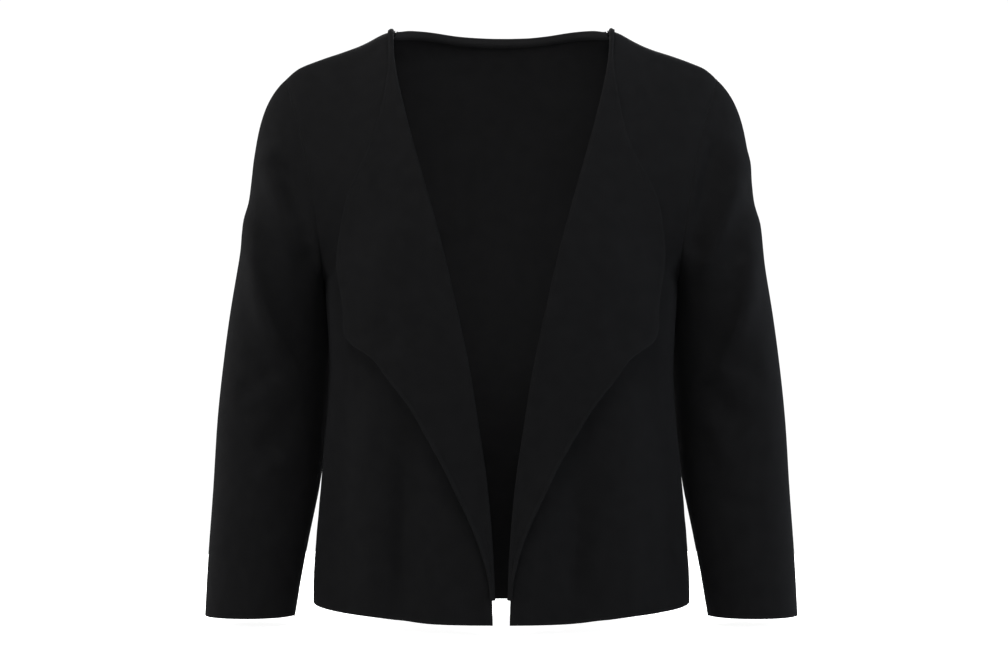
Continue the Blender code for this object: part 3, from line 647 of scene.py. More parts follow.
def new_object(name, data):
    made = bpy.data.objects.new(name, data)
    bpy.context.scene.collection.objects.link(made)
    return made


def smooth_mesh(name, verts, faces, material):
    data = bpy.data.meshes.new(name)
    data.from_pydata(verts, [], faces)
    data.update()
    data.shade_smooth()
    data.materials.append(material)
    return data


# A grid of points on the cloth's outer face, the thickness there, the place of each on the flat cloth
# and how near a free edge it is
Sheet = namedtuple("Sheet", "points thickness across along border")


def grid_quads(sheets):
    """The quads of every sheet's grid, one sheet after the other."""
    quads, start = [], 0
    for sheet in sheets:
        rows, across = sheet.points.shape[:2]
        at = start + np.arange(rows * across).reshape(rows, across)
        corners = (at[:-1, :-1], at[:-1, 1:], at[1:, 1:], at[1:, :-1])
        quads.append(np.stack([corner.ravel() for corner in corners], axis=-1))
        start += rows * across
    return np.concatenate(quads)


def face_directions(points, faces):
    """Direction of each quad, longer the larger it is."""
    return np.cross(points[faces[:, 2]] - points[faces[:, 0]], points[faces[:, 3]] - points[faces[:, 1]])


def rim_edges(faces):
    """The edges that only one face has: their numbers among all faces' edges, and their ends."""
    ends = np.stack((faces, np.roll(faces, -1, axis=1)), axis=-1).reshape(-1, 2)
    _, index, uses = np.unique(np.sort(ends, axis=1), axis=0, return_index=True, return_counts=True)
    rim = index[uses == 1]
    return rim, ends[rim, 0], ends[rim, 1]


def cloth_mesh(name, sheets, inside, material):
    """A closed wall of cloth, from sheets that meet along shared edges round the point inside."""
    points = np.concatenate([sheet.points.reshape(-1, 3) for sheet in sheets])
    thick = np.concatenate([sheet.thickness.ravel() for sheet in sheets])
    border = np.concatenate([sheet.border.ravel() for sheet in sheets])
    flat = np.concatenate(
        [np.stack((sheet.across.ravel(), sheet.along.ravel()), axis=-1) for sheet in sheets]
    )
    quads = grid_quads(sheets)
    keys = np.round(points * MERGED_PER_METRE).astype(np.int64)
    _, first, merged = np.unique(keys, axis=0, return_index=True, return_inverse=True)
    outer, thick, border = points[first], thick[first], border[first]
    faces = merged.reshape(-1)[quads]
    if face_directions(outer, faces[:1])[0] @ (outer[faces[0]].mean(0) - np.array(inside)) < 0:
        faces, quads = faces[:, ::-1], quads[:, ::-1]

    normal = np.zeros_like(outer)
    for k in range(4):
        np.add.at(normal, faces[:, k], face_directions(outer, faces))
    normal = unit(normal)

    rim, rim_from, rim_to = rim_edges(faces)
    outwards = np.zeros_like(outer)
    sideways = np.cross(outer[rim_to] - outer[rim_from], normal[rim_from])
    np.add.at(outwards, rim_from, sideways)
    np.add.at(outwards, rim_to, sideways)
    on_rim = lengths(outwards) > 0
    outwards[on_rim] = unit(outwards[on_rim])
    rim_points = np.flatnonzero(on_rim)

    count = len(outer)
    rounding = SEAM_ROUNDING + (FREE_ROUNDING - SEAM_ROUNDING) * border
    pulled = outwards * rounding[:, None]
    half = normal * (thick / 2)[:, None]
    rings = [np.arange(count)]
    verts = [outer - pulled, outer - 2 * half - pulled]
    for step in range(1, RIM_STEPS):
        turn = math.pi * step / RIM_STEPS
        ring = outer - half + half * math.cos(turn) + pulled * (math.sin(turn) - 1)
        verts.append(ring[rim_points])
        ring_at = np.full(count, -1)
        ring_at[rim_points] = (2 * count + (step - 1) * len(rim_points)) + np.arange(len(rim_points))
        rings.append(ring_at)
    rings.append(np.arange(count) + count)

    all_faces = [faces, faces[:, ::-1] + count]
    all_flat = [flat[quads], flat[quads[:, ::-1]]]
    from_flat = flat[quads.reshape(-1)[rim]]
    to_flat = flat[np.roll(quads, -1, axis=1).reshape(-1)[rim]]
    for near, far in zip(rings, rings[1:]):
        all_faces.append(np.stack((near[rim_to], near[rim_from], far[rim_from], far[rim_to]), axis=-1))
        all_flat.append(np.stack((to_flat, from_flat, from_flat, to_flat), axis=1))

    data = smooth_mesh(name, np.concatenate(verts).tolist(), np.concatenate(all_faces).tolist(), material)
    layer = data.uv_layers.new(name="cloth")
    layer.data.foreach_set("uv", np.concatenate(all_flat).astype(np.float32).ravel())
    edge = data.attributes.new("border", "FLOAT", "POINT")
    near_edge = np.concatenate([border, border] + [border[rim_points]] * (RIM_STEPS - 1))
    edge.data.foreach_set("value", near_edge.astype(np.float32))
    return new_object(name, data)


def border_of(distance):
    """1 at a free edge, falling to 0 at twice the width of its firm border."""
    return smooth(1 - distance / (2 * EDGE_REACH))


def border_thickness(distance):
    """Cloth thickness at that distance from a free edge: a firm border with a fine groove beside it."""
    swell = EDGE_SWELL * smooth(EDGE_SWELL_END - distance / EDGE_REACH)
    from_groove = (distance - EDGE_REACH * EDGE_GROOVE_PLACE) / EDGE_GROOVE
    return CLOTH * (1 + swell - EDGE_GROOVE_DEPTH * np.exp(-(from_groove**2)))


# ---------------------------------------------------------------------------------------------------
# Fronts and lapels
# ---------------------------------------------------------------------------------------------------


def lapel_points(share, beyond, side):
    """Fold and lapel: beyond runs from 0 at the roll line through the fold to 1 at the free edge."""
    roll = across_at(share, -1, lapel["roll_x"])
    edge = across_at(share, -1, lapel["edge_x_left" if side > 0 else "edge_x_right"])
    rolled = body_point(share, roll, -1)
    radius = lapel["roll"](rolled[..., 2])[:, None]
    normal = body_normal(share, roll, -1)
    inwards = rolled - body_point(share, roll - LONG_STEP, -1)
    inwards = unit(inwards - normal * (inwards * normal).sum(-1)[..., None])
    fold_share = FOLD_STEPS / (FOLD_STEPS + LAPEL_COLUMNS)
    turn = (math.pi * np.minimum(beyond / fold_share, 1.0))[None, :, None]
    at_roll = cloth_point(share, roll, -1, side)[:, None]
    fold = at_roll + radius[..., None] * (
        inwards[:, None] * np.sin(turn) + normal[:, None] * (1 - np.cos(turn))
    )
    out = np.clip((beyond - fold_share) / (1 - fold_share), 0.0, 1.0)[None, :]
    place = roll[:, None] + (edge - roll)[:, None] * out
    form = body_point(share[:, None], place, -1)
    start, end = 2 * radius, lapel["lift"](form[..., 2])
    wave = LAPEL_WAVE * np.sin(2 * math.pi * form[..., 2] / LAPEL_WAVE_LENGTH + side) * out**2
    waving = smooth((end - LAPEL_WAVE_START) / LAPEL_WAVE_RISE)
    lift = start + (end - start) * out**LAPEL_CURL + wave * waving
    lift = lift + crease_height(LAPEL_CREASES[side], form, -1) * smooth(out * LAPEL_CREASES_IN)
    lift = lift + LAPEL_SWELLING * swelling(form, -1, side) * out
    flat = cloth_point(share[:, None], place, -1, side, lift, creases=False)
    base = at_roll - cloth_point(share, roll, -1, side, creases=False)[:, None]
    flat = flat + base * (1 - smooth(out * LAPEL_FOLLOWS))[..., None]
    return np.where((beyond <= fold_share)[None, :, None], fold, flat)


def front_sheets(side):
    """The front panel and its lapel, as sheets that meet at the roll line."""
    share = np.linspace(0, 1, ROWS + 1)
    roll = across_at(share, -1, lapel["roll_x"])
    start = seam_start(share, -1)
    across = start[:, None] + (roll - start)[:, None] * np.linspace(0, 1, FRONT_COLUMNS + 1)
    panel = cloth_point(share[:, None], across, -1, side)
    panel = eased(panel, share[:, None], arc(panel, 1))
    run = arc(panel, 1)
    whole_row = body_point(share[:, None], np.linspace(0, 1, ROW_POINTS), -1)
    across_cloth = lengths(np.diff(whole_row, axis=1)).sum(1)[:, None] - run
    along_cloth = arc(panel[::-1], 0)[::-1]
    below = share > LAPEL_END_SHARE
    border = border_of(along_cloth)
    border = np.where(below[:, None], np.maximum(border, border_of(run[:, -1:] - run)), border)
    panel_sheet = Sheet(panel, border_thickness(along_cloth), across_cloth, along_cloth, border)

    lapel_share = share[~below]
    folded = lapel_points(lapel_share, np.linspace(0, 1, FOLD_STEPS + LAPEL_COLUMNS + 1), side)
    folded = eased(folded, lapel_share[:, None], EASED_INSET)
    folded[:, 0] = panel[~below][:, -1]
    run = arc(folded, 1)
    from_end = np.where(lapel_share[:, None] > LAPEL_HEM_SHARE, lengths(folded - folded[-1:, :]), np.inf)
    from_edge = np.minimum(run[:, -1:] - run, from_end)
    lapel_sheet = Sheet(
        folded, border_thickness(from_edge), across_cloth[~below][:, -1:] - run,
        np.repeat(along_cloth[~below][:, -1:], run.shape[1], 1), border_of(from_edge),
    )
    return [panel_sheet, lapel_sheet]


# ---------------------------------------------------------------------------------------------------
# Back and neck band
# ---------------------------------------------------------------------------------------------------


def back_neck_share(across):
    """Where the back starts below the shoulder seam, so that it follows the neckline."""

    def inside_neck(share):
        point = body_point(share, across, 1)
        wide, deep = point[..., 0] / NECK_HALF_WIDTH, point[..., 1] / BACK_NECK_DEPTH
        return 1 - np.abs(wide) ** BACK_NECK_SQUARENESS - np.abs(deep) ** BACK_NECK_SQUARENESS

    shape = np.shape(across)
    found = solve(inside_neck, np.zeros(shape), np.full(shape, NECK_LAST_SHARE))
    beside = body_point(0.0, across, 1)[..., 0] >= NECK_HALF_WIDTH
    return np.where(beside, 0.0, found)


NECK_CORNER = float(across_at(np.zeros(1), 1, lambda z: NECK_HALF_WIDTH)[0])


def neck_across(spread):
    """Across value at spread, from 0 at the centre back to 1 at a shoulder seam, about even along
    the neckline."""
    return 1 - (1 - NECK_CORNER) * np.sin(math.pi / 2 * spread) ** (2 / BACK_NECK_SQUARENESS)


def back_half(side):
    """One half of the back, from the side seam to the centre, on the +X side."""
    row = np.linspace(0, 1, ROWS + 1)
    outwards = np.linspace(1, 0, BACK_COLUMNS + 1)
    beside = NECK_CORNER * (1 - outwards) / (1 - NECK_COLUMN_SHARE)
    below_neck = neck_across(np.clip(outwards / NECK_COLUMN_SHARE, 0, 1))
    across = np.where(outwards > NECK_COLUMN_SHARE, beside, below_neck)
    start = back_neck_share(across)
    share = row[:, None] + start * np.maximum(1 - row / UNDERARM_SHARE, 0.0)[:, None]
    half = cloth_point(share, np.maximum(across, seam_start(share, 1)), 1, side)
    return eased(half, share, arc(half, 1))


def back_sheet():
    """The whole back, its two halves brought together at the centre."""
    left, right = back_half(1), back_half(-1) * (-1, 1, 1)
    middle_line = (left[:, -1:] + right[:, -1:]) / 2
    from_centre = np.linspace(BACK_COLUMNS, 0, BACK_COLUMNS + 1)
    fade = smooth(from_centre / BACK_JOIN_COLUMNS)[None, :, None]
    left = left + (middle_line - left[:, -1:]) * (1 - fade)
    right = right + (middle_line - right[:, -1:]) * (1 - fade)
    points = np.concatenate([right, left[:, -2::-1]], axis=1)
    run = arc(points, 1)
    across = run - run[:, BACK_COLUMNS : BACK_COLUMNS + 1]
    along = arc(points[::-1], 0)[::-1]
    neck = np.abs(np.linspace(-1, 1, points.shape[1])) < NECK_COLUMN_SHARE
    from_neck = np.where(neck[None, :], arc(points, 0), np.inf)
    from_edge = np.minimum(along, from_neck)
    return [Sheet(points, border_thickness(from_edge), across, along, border_of(from_edge))]


def neckline(spread):
    """Point of the back neckline and the body's outward direction there, for spread from -1 at the
    right shoulder seam to +1 at the left one."""
    across = neck_across(np.abs(spread))
    share = back_neck_share(across)
    same = np.ones_like(spread)
    mirror = np.stack((np.where(spread < 0, -1.0, 1.0), same, same), -1)
    return body_point(share, across, 1) * mirror, body_normal(share, across, 1) * mirror


def band_sheet():
    """The neck band, from its top edge down along the back's inside."""
    spread = np.linspace(-BAND_REACH, BAND_REACH, BAND_COLUMNS + 1)
    at, normal = neckline(spread)
    along = neckline(spread + STEP)[0] - neckline(spread - STEP)[0]
    below_top = np.linspace(0, BAND_DEPTH, BAND_ROWS + 1)[:, None, None]
    upright = BAND_UPRIGHT * (1 - smooth(below_top / BAND_DEPTH)) * (0.0, 0.0, 1.0)
    below = unit(unit(np.cross(normal, along)) - upright)
    down = below_top - band["rise"](np.abs(spread))[None, :, None]
    thickness = np.full((BAND_ROWS + 1, BAND_COLUMNS + 1), BAND_CLOTH)
    points = at + below * down - normal * (BAND_INSET + BAND_SLOPE * down)
    run = arc(points, 1)
    depth = np.repeat(below_top[:, :, 0], run.shape[1], 1)
    from_edge = np.minimum(depth, BAND_DEPTH - depth)
    return [Sheet(points, thickness, run, depth, border_of(from_edge))]


# ---------------------------------------------------------------------------------------------------
# Sleeves
# ---------------------------------------------------------------------------------------------------


def sleeve_ring(share, angle):
    """Point of the sleeve's ring at share, before it is fitted to the armhole."""
    at = {name: value(share) for name, value in sleeve.items()}
    reach = np.cos(angle) / 2
    return np.stack(np.broadcast_arrays(
        (at["outer_x"] + at["inner_x"]) / 2 + (at["outer_x"] - at["inner_x"]) * reach,
        (at["outer_y"] + at["inner_y"]) / 2 + (at["outer_y"] - at["inner_y"]) * reach
        - at["half_depth"] * np.sin(angle - at["droop"] * np.sin(angle)),
        (at["outer_z"] + at["inner_z"]) / 2 + (at["outer_z"] - at["inner_z"]) * reach,
    ), axis=-1)


def sleeve_form(share, angle):
    """Point of the +X sleeve without its folds: angle is 0 along the outside of the arm, pi along its
    inside, and pi / 2 at the front."""
    share, angle = np.broadcast_arrays(np.asarray(share, float), angle)
    point = sleeve_ring(share, angle)
    facing = np.where(np.sin(angle) > 0, -1, 1)
    turn = np.arccos(np.clip(np.cos(angle), -1, 1))
    seam = armhole_point(turn, facing)
    kept = (share < CAP_SHARE)[..., None]
    fitted = (seam - sleeve_ring(0.0, angle)) * (1 - smooth(share / CAP_SHARE))[..., None]
    flush = smooth((CREASED_ANGLE - turn) / (CREASED_ANGLE - FLUSH_ANGLE))
    row = UNDERARM_SHARE * turn / math.pi
    outwards = unit(body_point(row, 0.0, facing) - body_point(row, LONG_STEP, facing))
    start = (sleeve_ring(STEP, angle) - sleeve_ring(0.0, angle)) / STEP
    change = outwards * lengths(start)[..., None] - start
    bent = change * (flush * share * (1 - share / CAP_SHARE) ** 2)[..., None]
    return point + np.where(kept, fitted + bent, 0.0)


def sleeve_sheet(side):
    """The +X sleeve with its folds and creases, from its underarm seam round to it again."""
    share = np.linspace(0, 1, SLEEVE_ROWS + 1)[:, None]
    angle = math.pi * (1 + 2 * np.linspace(0, 1, SLEEVE_COLUMNS + 1))[None, :]
    point = sleeve_form(share, angle)
    above, below = np.maximum(share - STEP, 0.0), np.minimum(share + STEP, 1.0)
    down = sleeve_form(below, angle) - sleeve_form(above, angle)
    around = sleeve_form(share, angle + STEP) - sleeve_form(share, angle - STEP)
    normal = unit(np.cross(around, down))
    front = smooth(0.5 + SIDE_BLEND * np.sin(angle))
    edge = lengths(point - sleeve_form(0.0, angle))
    clear = smooth(edge / FOLD_CLEAR) * smooth(np.abs(np.sin(angle)) / SIDE_CLEAR)
    height = np.zeros(point.shape[:-1])
    for facing, weight in ((-1, front), (1, 1 - front)):
        out = fold_height(SLEEVE_FOLDS[side], point, facing)
        out = out + crease_height(SLEEVE_CREASES[side], point, facing)
        height += weight * (out + swelling(point, facing, side * 2)) * clear
    run_around = arc(point, 1)
    run_down_armhole = np.broadcast_to(angle * ARMHOLE_RADIUS, edge.shape)
    height += seam_dip(edge, run_down_armhole, ARMHOLE_SEED + side)
    from_underarm = np.minimum(run_around, run_around[:, -1:] - run_around)
    dip = seam_dip(from_underarm, arc(point, 0), UNDERARM_SEED + side)
    height += dip * smooth(edge / FOLD_CLEAR)
    moved = point + normal * height[..., None]
    moved[0] += unit(moved[2] - moved[0]) * SEAM_GAP / 2
    moved[:, -1] = moved[:, 0]
    along = arc(moved[::-1], 0)[::-1]
    run = arc(moved, 1)
    return [Sheet(moved, border_thickness(along), run - run[:, -1:] / 2, along, border_of(along))]


# ---------------------------------------------------------------------------------------------------
# Materials
# ---------------------------------------------------------------------------------------------------

KNIT_DARK = (0.0040, 0.0040, 0.0042, 1.0)
KNIT_LIGHT = (0.0074, 0.0074, 0.0077, 1.0)
# Lighter tone of the free edges' firm borders: part lint wear, part painted highlight along the edge
BORDER_WEAR_AND_HIGHLIGHT = (0.0068, 0.0068, 0.0071, 1.0)
# The neck band's tones are the black knit's made about 1.7 times lighter: a painted lit copy of the knit,
# painted light
BAND_LIT_DARK = (0.0075, 0.0075, 0.0078, 1.0)
BAND_LIT_LIGHT = (0.0130, 0.0130, 0.0134, 1.0)

KNIT_WALE, KNIT_COURSE, KNIT_SLANT = 0.0015, 0.0011, 1.1  # width, height and lean of its stitches
KNITS = table(
    "name dark light wale course slant bump nap roughness sheen",
    ("black_knit", KNIT_DARK, KNIT_LIGHT, KNIT_WALE, KNIT_COURSE, KNIT_SLANT, 0.35, 0.15, 0.90, 0.01),
    ("neck_band_knit", BAND_LIT_DARK, BAND_LIT_LIGHT, 0.0011, 0.0009, 0.2, 0.45, 0.12, 0.90, 0.01),
)
STRAND_DIP = 0.35  # how much lower a strand lies where it passes from stitch to stitch
HOLLOW_PAINTED_SHADE = 0.5  # share of the dark tone painted into the hollows between stitches, as painted shade
HOLLOW_ROUGHENING = 0.08
KNIT_GLOSS, YARN_GLOSS = 0.02, 0.08
SHEEN_ROUGHNESS = 0.35
SHEEN_TINT = (0.9, 0.92, 1.0, 1.0)
KNIT_RELIEF, YARN_RELIEF = 0.0003, 0.0002  # depth of the bumps
KNIT_NAP = {"Fibre": 0.0005, "Patch": 0.012}  # size of its fibres and of its mottling
YARN_NAP = {"Fibre": 0.0003, "Patch": 0.004}
YARN_ROUGHNESS, YARN_ROUGHNESS_CHANGE = 0.75, 0.15
YARN_BUMP = 0.3


def feed(tree, made, inputs):
    """Sets each input to a value, or links it to the socket that feeds it."""
    for label, value in inputs.items():
        if isinstance(value, bpy.types.NodeSocket):
            tree.links.new(value, made.inputs[label])
        else:
            made.inputs[label].default_value = value


def node(tree, kind, inputs=None, **settings):
    """A new node with those settings and inputs."""
    made = tree.nodes.new(kind)
    for label, value in settings.items():
        setattr(made, label, value)
    feed(tree, made, inputs or {})
    return made


def math_node(tree, operation, *values):
    """Result of a Math node; each value is a number or the socket that feeds it."""
    return node(tree, "ShaderNodeMath", dict(enumerate(values)), operation=operation).outputs[0]


def new_group(name, sizes, outputs):
    """A shader node group that turns a place and some sizes into values: the group, the outputs of its
    first node and its last node."""
    group = bpy.data.node_groups.new(name, "ShaderNodeTree")
    group.interface.new_socket("Place", in_out="INPUT", socket_type="NodeSocketVector")
    for label, size in sizes.items():
        made = group.interface.new_socket(label, in_out="INPUT", socket_type="NodeSocketFloat")
        made.default_value = size
    for label in outputs:
        group.interface.new_socket(label, in_out="OUTPUT", socket_type="NodeSocketFloat")
    return group, group.nodes.new("NodeGroupInput").outputs, group.nodes.new("NodeGroupOutput")


def knit_group():
    """Plain knit: two legs to each stitch, set in a V, in upright wales. Height is 0 to 1."""
    sizes = {"Wale": KNIT_WALE, "Course": KNIT_COURSE, "Slant": KNIT_SLANT}
    group, given, result = new_group("plain_knit", sizes, ("Height", "Hollow"))

    def calc(operation, *values):
        return math_node(group, operation, *values)

    place = node(group, "ShaderNodeSeparateXYZ", {0: given["Place"]}).outputs
    wales = calc("DIVIDE", place["X"], given["Wale"])
    courses = calc("DIVIDE", place["Y"], given["Course"])
    in_wale = calc("SUBTRACT", calc("FRACT", wales), 0.5)
    aside = calc("MULTIPLY", calc("ABSOLUTE", in_wale), 2.0)
    along = calc("ADD", courses, calc("MULTIPLY", aside, given["Slant"]))
    turn = calc("MULTIPLY", along, 2 * math.pi)
    strand = calc("MULTIPLY_ADD", calc("COSINE", turn), STRAND_DIP, 1 - STRAND_DIP)
    leg = calc("COSINE", calc("MULTIPLY", calc("SUBTRACT", aside, 0.5), math.pi))
    height = calc("MULTIPLY", strand, leg)
    hollow = calc("POWER", calc("SUBTRACT", 1.0, height), 2.0)
    feed(group, result, {"Height": height, "Hollow": hollow})
    return group


def nap_group():
    """Faint nap of short fibres, with mottling where it lies unevenly."""
    group, given, result = new_group("felted_nap", KNIT_NAP, ("Height", "Mottle"))
    for label, output, detail in (("Fibre", "Height", 2.0), ("Patch", "Mottle", 4.0)):
        scale = math_node(group, "DIVIDE", 1.0, given[label])
        sizes = {"Vector": given["Place"], "Scale": scale, "Detail": detail}
        noise = node(group, "ShaderNodeTexNoise", sizes)
        feed(group, result, {output: noise.outputs["Fac"]})
    return group


def new_material(name):
    made = bpy.data.materials.new(name)
    made.use_nodes = True
    return made, made.node_tree, made.node_tree.nodes["Principled BSDF"]


def mix_colour(tree, share, first, second):
    colours = {"Factor": share, "A": first, "B": second}
    return node(tree, "ShaderNodeMix", colours, data_type="RGBA").outputs["Result"]


def nap_on(tree, nap, sizes=None):
    """Outputs of the nap, laid by the piece's own place."""
    place = node(tree, "ShaderNodeTexCoord").outputs["Object"]
    return node(tree, "ShaderNodeGroup", {"Place": place, **(sizes or {})}, node_tree=nap).outputs


def relief(tree, height, strength, distance, **below):
    """Normal of a surface with that relief, on the relief below it if there is one."""
    inputs = {"Height": height, "Strength": strength, "Distance": distance, **below}
    return node(tree, "ShaderNodeBump", inputs).outputs["Normal"]


def knit_material(row, stitches, nap):
    """The knit of a row of KNITS, with its firm borders a little lighter, as mottled lint wear and as a
    painted highlight along the edge.
    """
    made, tree, shader = new_material(row.name)
    place = node(tree, "ShaderNodeUVMap", uv_map="cloth").outputs["UV"]
    sizes = {"Place": place, "Wale": row.wale, "Course": row.course, "Slant": row.slant}
    knit = node(tree, "ShaderNodeGroup", sizes, node_tree=stitches).outputs
    fibres = nap_on(tree, nap)

    mottled = mix_colour(tree, fibres["Mottle"], row.dark, row.light)
    # the hollows between the stitches are darkened in colour: painted shade
    shade = math_node(tree, "MULTIPLY", knit["Hollow"], HOLLOW_PAINTED_SHADE)
    shade_in_hollows = mix_colour(tree, shade, mottled, row.dark)
    border = node(tree, "ShaderNodeAttribute", attribute_name="border").outputs["Fac"]
    # lighter mottled patches along the free edges: lint wear together with a painted edge highlight
    wear_and_highlight = math_node(tree, "MULTIPLY", border, fibres["Mottle"])
    knit_relief = relief(tree, knit["Height"], row.bump, KNIT_RELIEF)
    feed(tree, shader, {
        "Base Color": mix_colour(tree, wear_and_highlight, shade_in_hollows, BORDER_WEAR_AND_HIGHLIGHT),
        "Roughness": math_node(tree, "MULTIPLY_ADD", knit["Hollow"], HOLLOW_ROUGHENING, row.roughness),
        "Specular IOR Level": KNIT_GLOSS,
        "Sheen Weight": row.sheen,
        "Sheen Roughness": SHEEN_ROUGHNESS,
        "Sheen Tint": SHEEN_TINT,
        "Normal": relief(tree, fibres["Height"], row.nap, KNIT_RELIEF, Normal=knit_relief),
    })
    return made


def yarn_material(nap):
    """Linking yarn of the seams, a little smoother than the knit."""
    made, tree, shader = new_material("seam_yarn")
    fibres = nap_on(tree, nap, YARN_NAP)
    rough = math_node(tree, "MULTIPLY_ADD", fibres["Mottle"], YARN_ROUGHNESS_CHANGE, YARN_ROUGHNESS)
    feed(tree, shader, {
        "Base Color": mix_colour(tree, fibres["Mottle"], KNIT_DARK, KNIT_LIGHT),
        "Roughness": rough,
        "Specular IOR Level": YARN_GLOSS,
        "Normal": relief(tree, fibres["Height"], YARN_BUMP, YARN_RELIEF),
    })
    return made


# ---------------------------------------------------------------------------------------------------
# Seams
# ---------------------------------------------------------------------------------------------------


def spaced(points, normals, spacing):
    """Points of a line again at even spacing, with their directions."""
    run = arc(points, 0)
    at = np.linspace(0, run[-1], max(2, int(run[-1] / spacing) + 1))
    again = [np.stack([np.interp(at, run, part[:, k]) for k in range(3)], -1)
             for part in (points, normals)]
    return again[0], unit(again[1])


def seam_lines(side):
    """Each seam of one side of the garment: its points on the cloth's outer face and the outward
    directions there."""

    def placed(points, normals):
        mirror = np.array((side, 1.0, 1.0))
        return points * mirror, unit(normals) * mirror

    across = np.linspace(0.0, NECK_CORNER, SHOULDER_POINTS)
    shoulder_out = body_normal(0.0, across, -1) + body_normal(0.0, across, 1)
    turn = np.linspace(0, 2 * math.pi, ARMHOLE_POINTS)
    facing = np.where(turn < math.pi, -1, 1)
    folded = np.where(turn < math.pi, turn, 2 * math.pi - turn)
    body_out = body_normal(UNDERARM_SHARE * folded / math.pi, 0.0, facing)
    down = sleeve_form(STEP, turn) - sleeve_form(0.0, turn)
    around = sleeve_form(0.0, turn + STEP) - sleeve_form(0.0, turn - STEP)
    share = np.linspace(UNDERARM_SHARE, 1.0, LONG_SEAM_POINTS)
    side_out = body_normal(share, 0.0, -1) + body_normal(share, 0.0, 1)
    down_sleeve = np.linspace(0.0, 1.0, LONG_SEAM_POINTS)
    under = sleeve_form(down_sleeve, math.pi)
    return {
        "shoulder": placed(body_point(0.0, across, -1), shoulder_out),
        "armhole": placed(armhole_point(folded, facing), body_out + unit(np.cross(around, down))),
        "side": placed(outer_rail(share, -1), side_out),
        "underarm": placed(under, under - (sleeve_form(down_sleeve, 0.0) + under) / 2),
    }


def seam_cord(name, lines, material):
    """The sewn ridge inside each seam, as a flat oval cord along it."""
    verts, faces, steps = [], [], SEAM_CORD_STEPS
    turn = np.linspace(0, 2 * math.pi, steps, endpoint=False)
    for points, normals in lines:
        points, normals = spaced(points, normals, SEAM_CORD_SPACING)
        sideways = unit(np.cross(unit(np.gradient(points, axis=0)), normals))
        centre = points - normals * (SEAM_SINK + CLOTH + SEAM_CORD_HEIGHT * SEAM_CORD_SINK)
        ring = (
            sideways[:, None] * (SEAM_CORD_WIDTH * np.cos(turn))[None, :, None]
            + normals[:, None] * (SEAM_CORD_HEIGHT * np.sin(turn))[None, :, None]
        )
        tube = centre[:, None] + ring
        for end in (0, -1):
            tube[end] = centre[end] + ring[end] * SEAM_CORD_END
        start, count = len(verts), len(points)
        verts += tube.reshape(-1, 3).tolist()
        for i in range(count - 1):
            for k in range(steps):
                a, b = start + i * steps + k, start + i * steps + (k + 1) % steps
                faces.append((a, b, b + steps, a + steps))
        faces.append(tuple(start + k for k in reversed(range(steps))))
        faces.append(tuple(start + (count - 1) * steps + k for k in range(steps)))
    return new_object(name, smooth_mesh(name, verts, faces, material))


def stitch_tree(material):
    """Geometry Nodes: a pair of yarn legs at every point, along its seam and square to its cloth."""
    tree = bpy.data.node_groups.new("linked_stitches", "GeometryNodeTree")
    for label, in_out, kind, value in (
        ("Geometry", "INPUT", "Geometry", None),
        ("Length", "INPUT", "Float", STITCH_LENGTH),
        ("Width", "INPUT", "Float", STITCH_WIDTH),
        ("Splay", "INPUT", "Float", math.radians(STITCH_SPLAY)),
        ("Unevenness", "INPUT", "Float", STITCH_UNEVEN),
        ("Seed", "INPUT", "Int", BODY_STITCH_SEED),
        ("Geometry", "OUTPUT", "Geometry", None),
    ):
        socket = tree.interface.new_socket(label, in_out=in_out, socket_type="NodeSocket" + kind)
        if value is not None:
            socket.default_value = value
    given = tree.nodes.new("NodeGroupInput").outputs
    result = tree.nodes.new("NodeGroupOutput")

    def calc(operation, *values):
        return math_node(tree, operation, *values)

    def named(label):
        source = node(
            tree, "GeometryNodeInputNamedAttribute", {"Name": label}, data_type="FLOAT_VECTOR"
        )
        return source.outputs["Attribute"]

    align = "FunctionNodeAlignRotationToVector"
    along = node(tree, align, {"Vector": named("run")}, axis="X").outputs["Rotation"]
    upright = node(
        tree, align, {"Rotation": along, "Vector": named("out")}, axis="Z", pivot_axis="X"
    )
    pair = tree.nodes.new("GeometryNodeJoinGeometry")
    for hand in (1, -1):
        ball = node(tree, "GeometryNodeMeshUVSphere", {
            "Segments": STITCH_SIDES, "Rings": STITCH_RINGS, "Radius": 1.0,
        })
        size = node(tree, "ShaderNodeCombineXYZ", {
            "X": calc("MULTIPLY", given["Length"], 0.5), "Y": given["Width"], "Z": given["Width"],
        })
        leaning = node(tree, "ShaderNodeCombineXYZ", {"Z": calc("MULTIPLY", given["Splay"], hand)})
        aside = calc("MULTIPLY", given["Width"], STITCH_ASIDE * hand)
        leg = node(tree, "GeometryNodeTransform", {
            "Geometry": ball.outputs["Mesh"],
            "Scale": size.outputs[0],
            "Rotation": leaning.outputs[0],
            "Translation": node(tree, "ShaderNodeCombineXYZ", {"Y": aside}).outputs[0],
        })
        feed(tree, pair, {"Geometry": leg.outputs["Geometry"]})

    change = node(tree, "FunctionNodeRandomValue", {
        "Min": calc("SUBTRACT", 1.0, given["Unevenness"]),
        "Max": calc("ADD", 1.0, given["Unevenness"]),
        "Seed": given["Seed"],
    }, data_type="FLOAT")
    place = node(tree, "GeometryNodeInstanceOnPoints", {
        "Points": given["Geometry"],
        "Instance": pair.outputs["Geometry"],
        "Rotation": upright.outputs["Rotation"],
        "Scale": change.outputs["Value"],
    })
    real = node(tree, "GeometryNodeRealizeInstances", {"Geometry": place.outputs["Instances"]})
    finish = node(tree, "GeometryNodeSetMaterial", {
        "Geometry": real.outputs["Geometry"], "Material": material,
    })
    feed(tree, result, {"Geometry": finish.outputs["Geometry"]})
    return tree


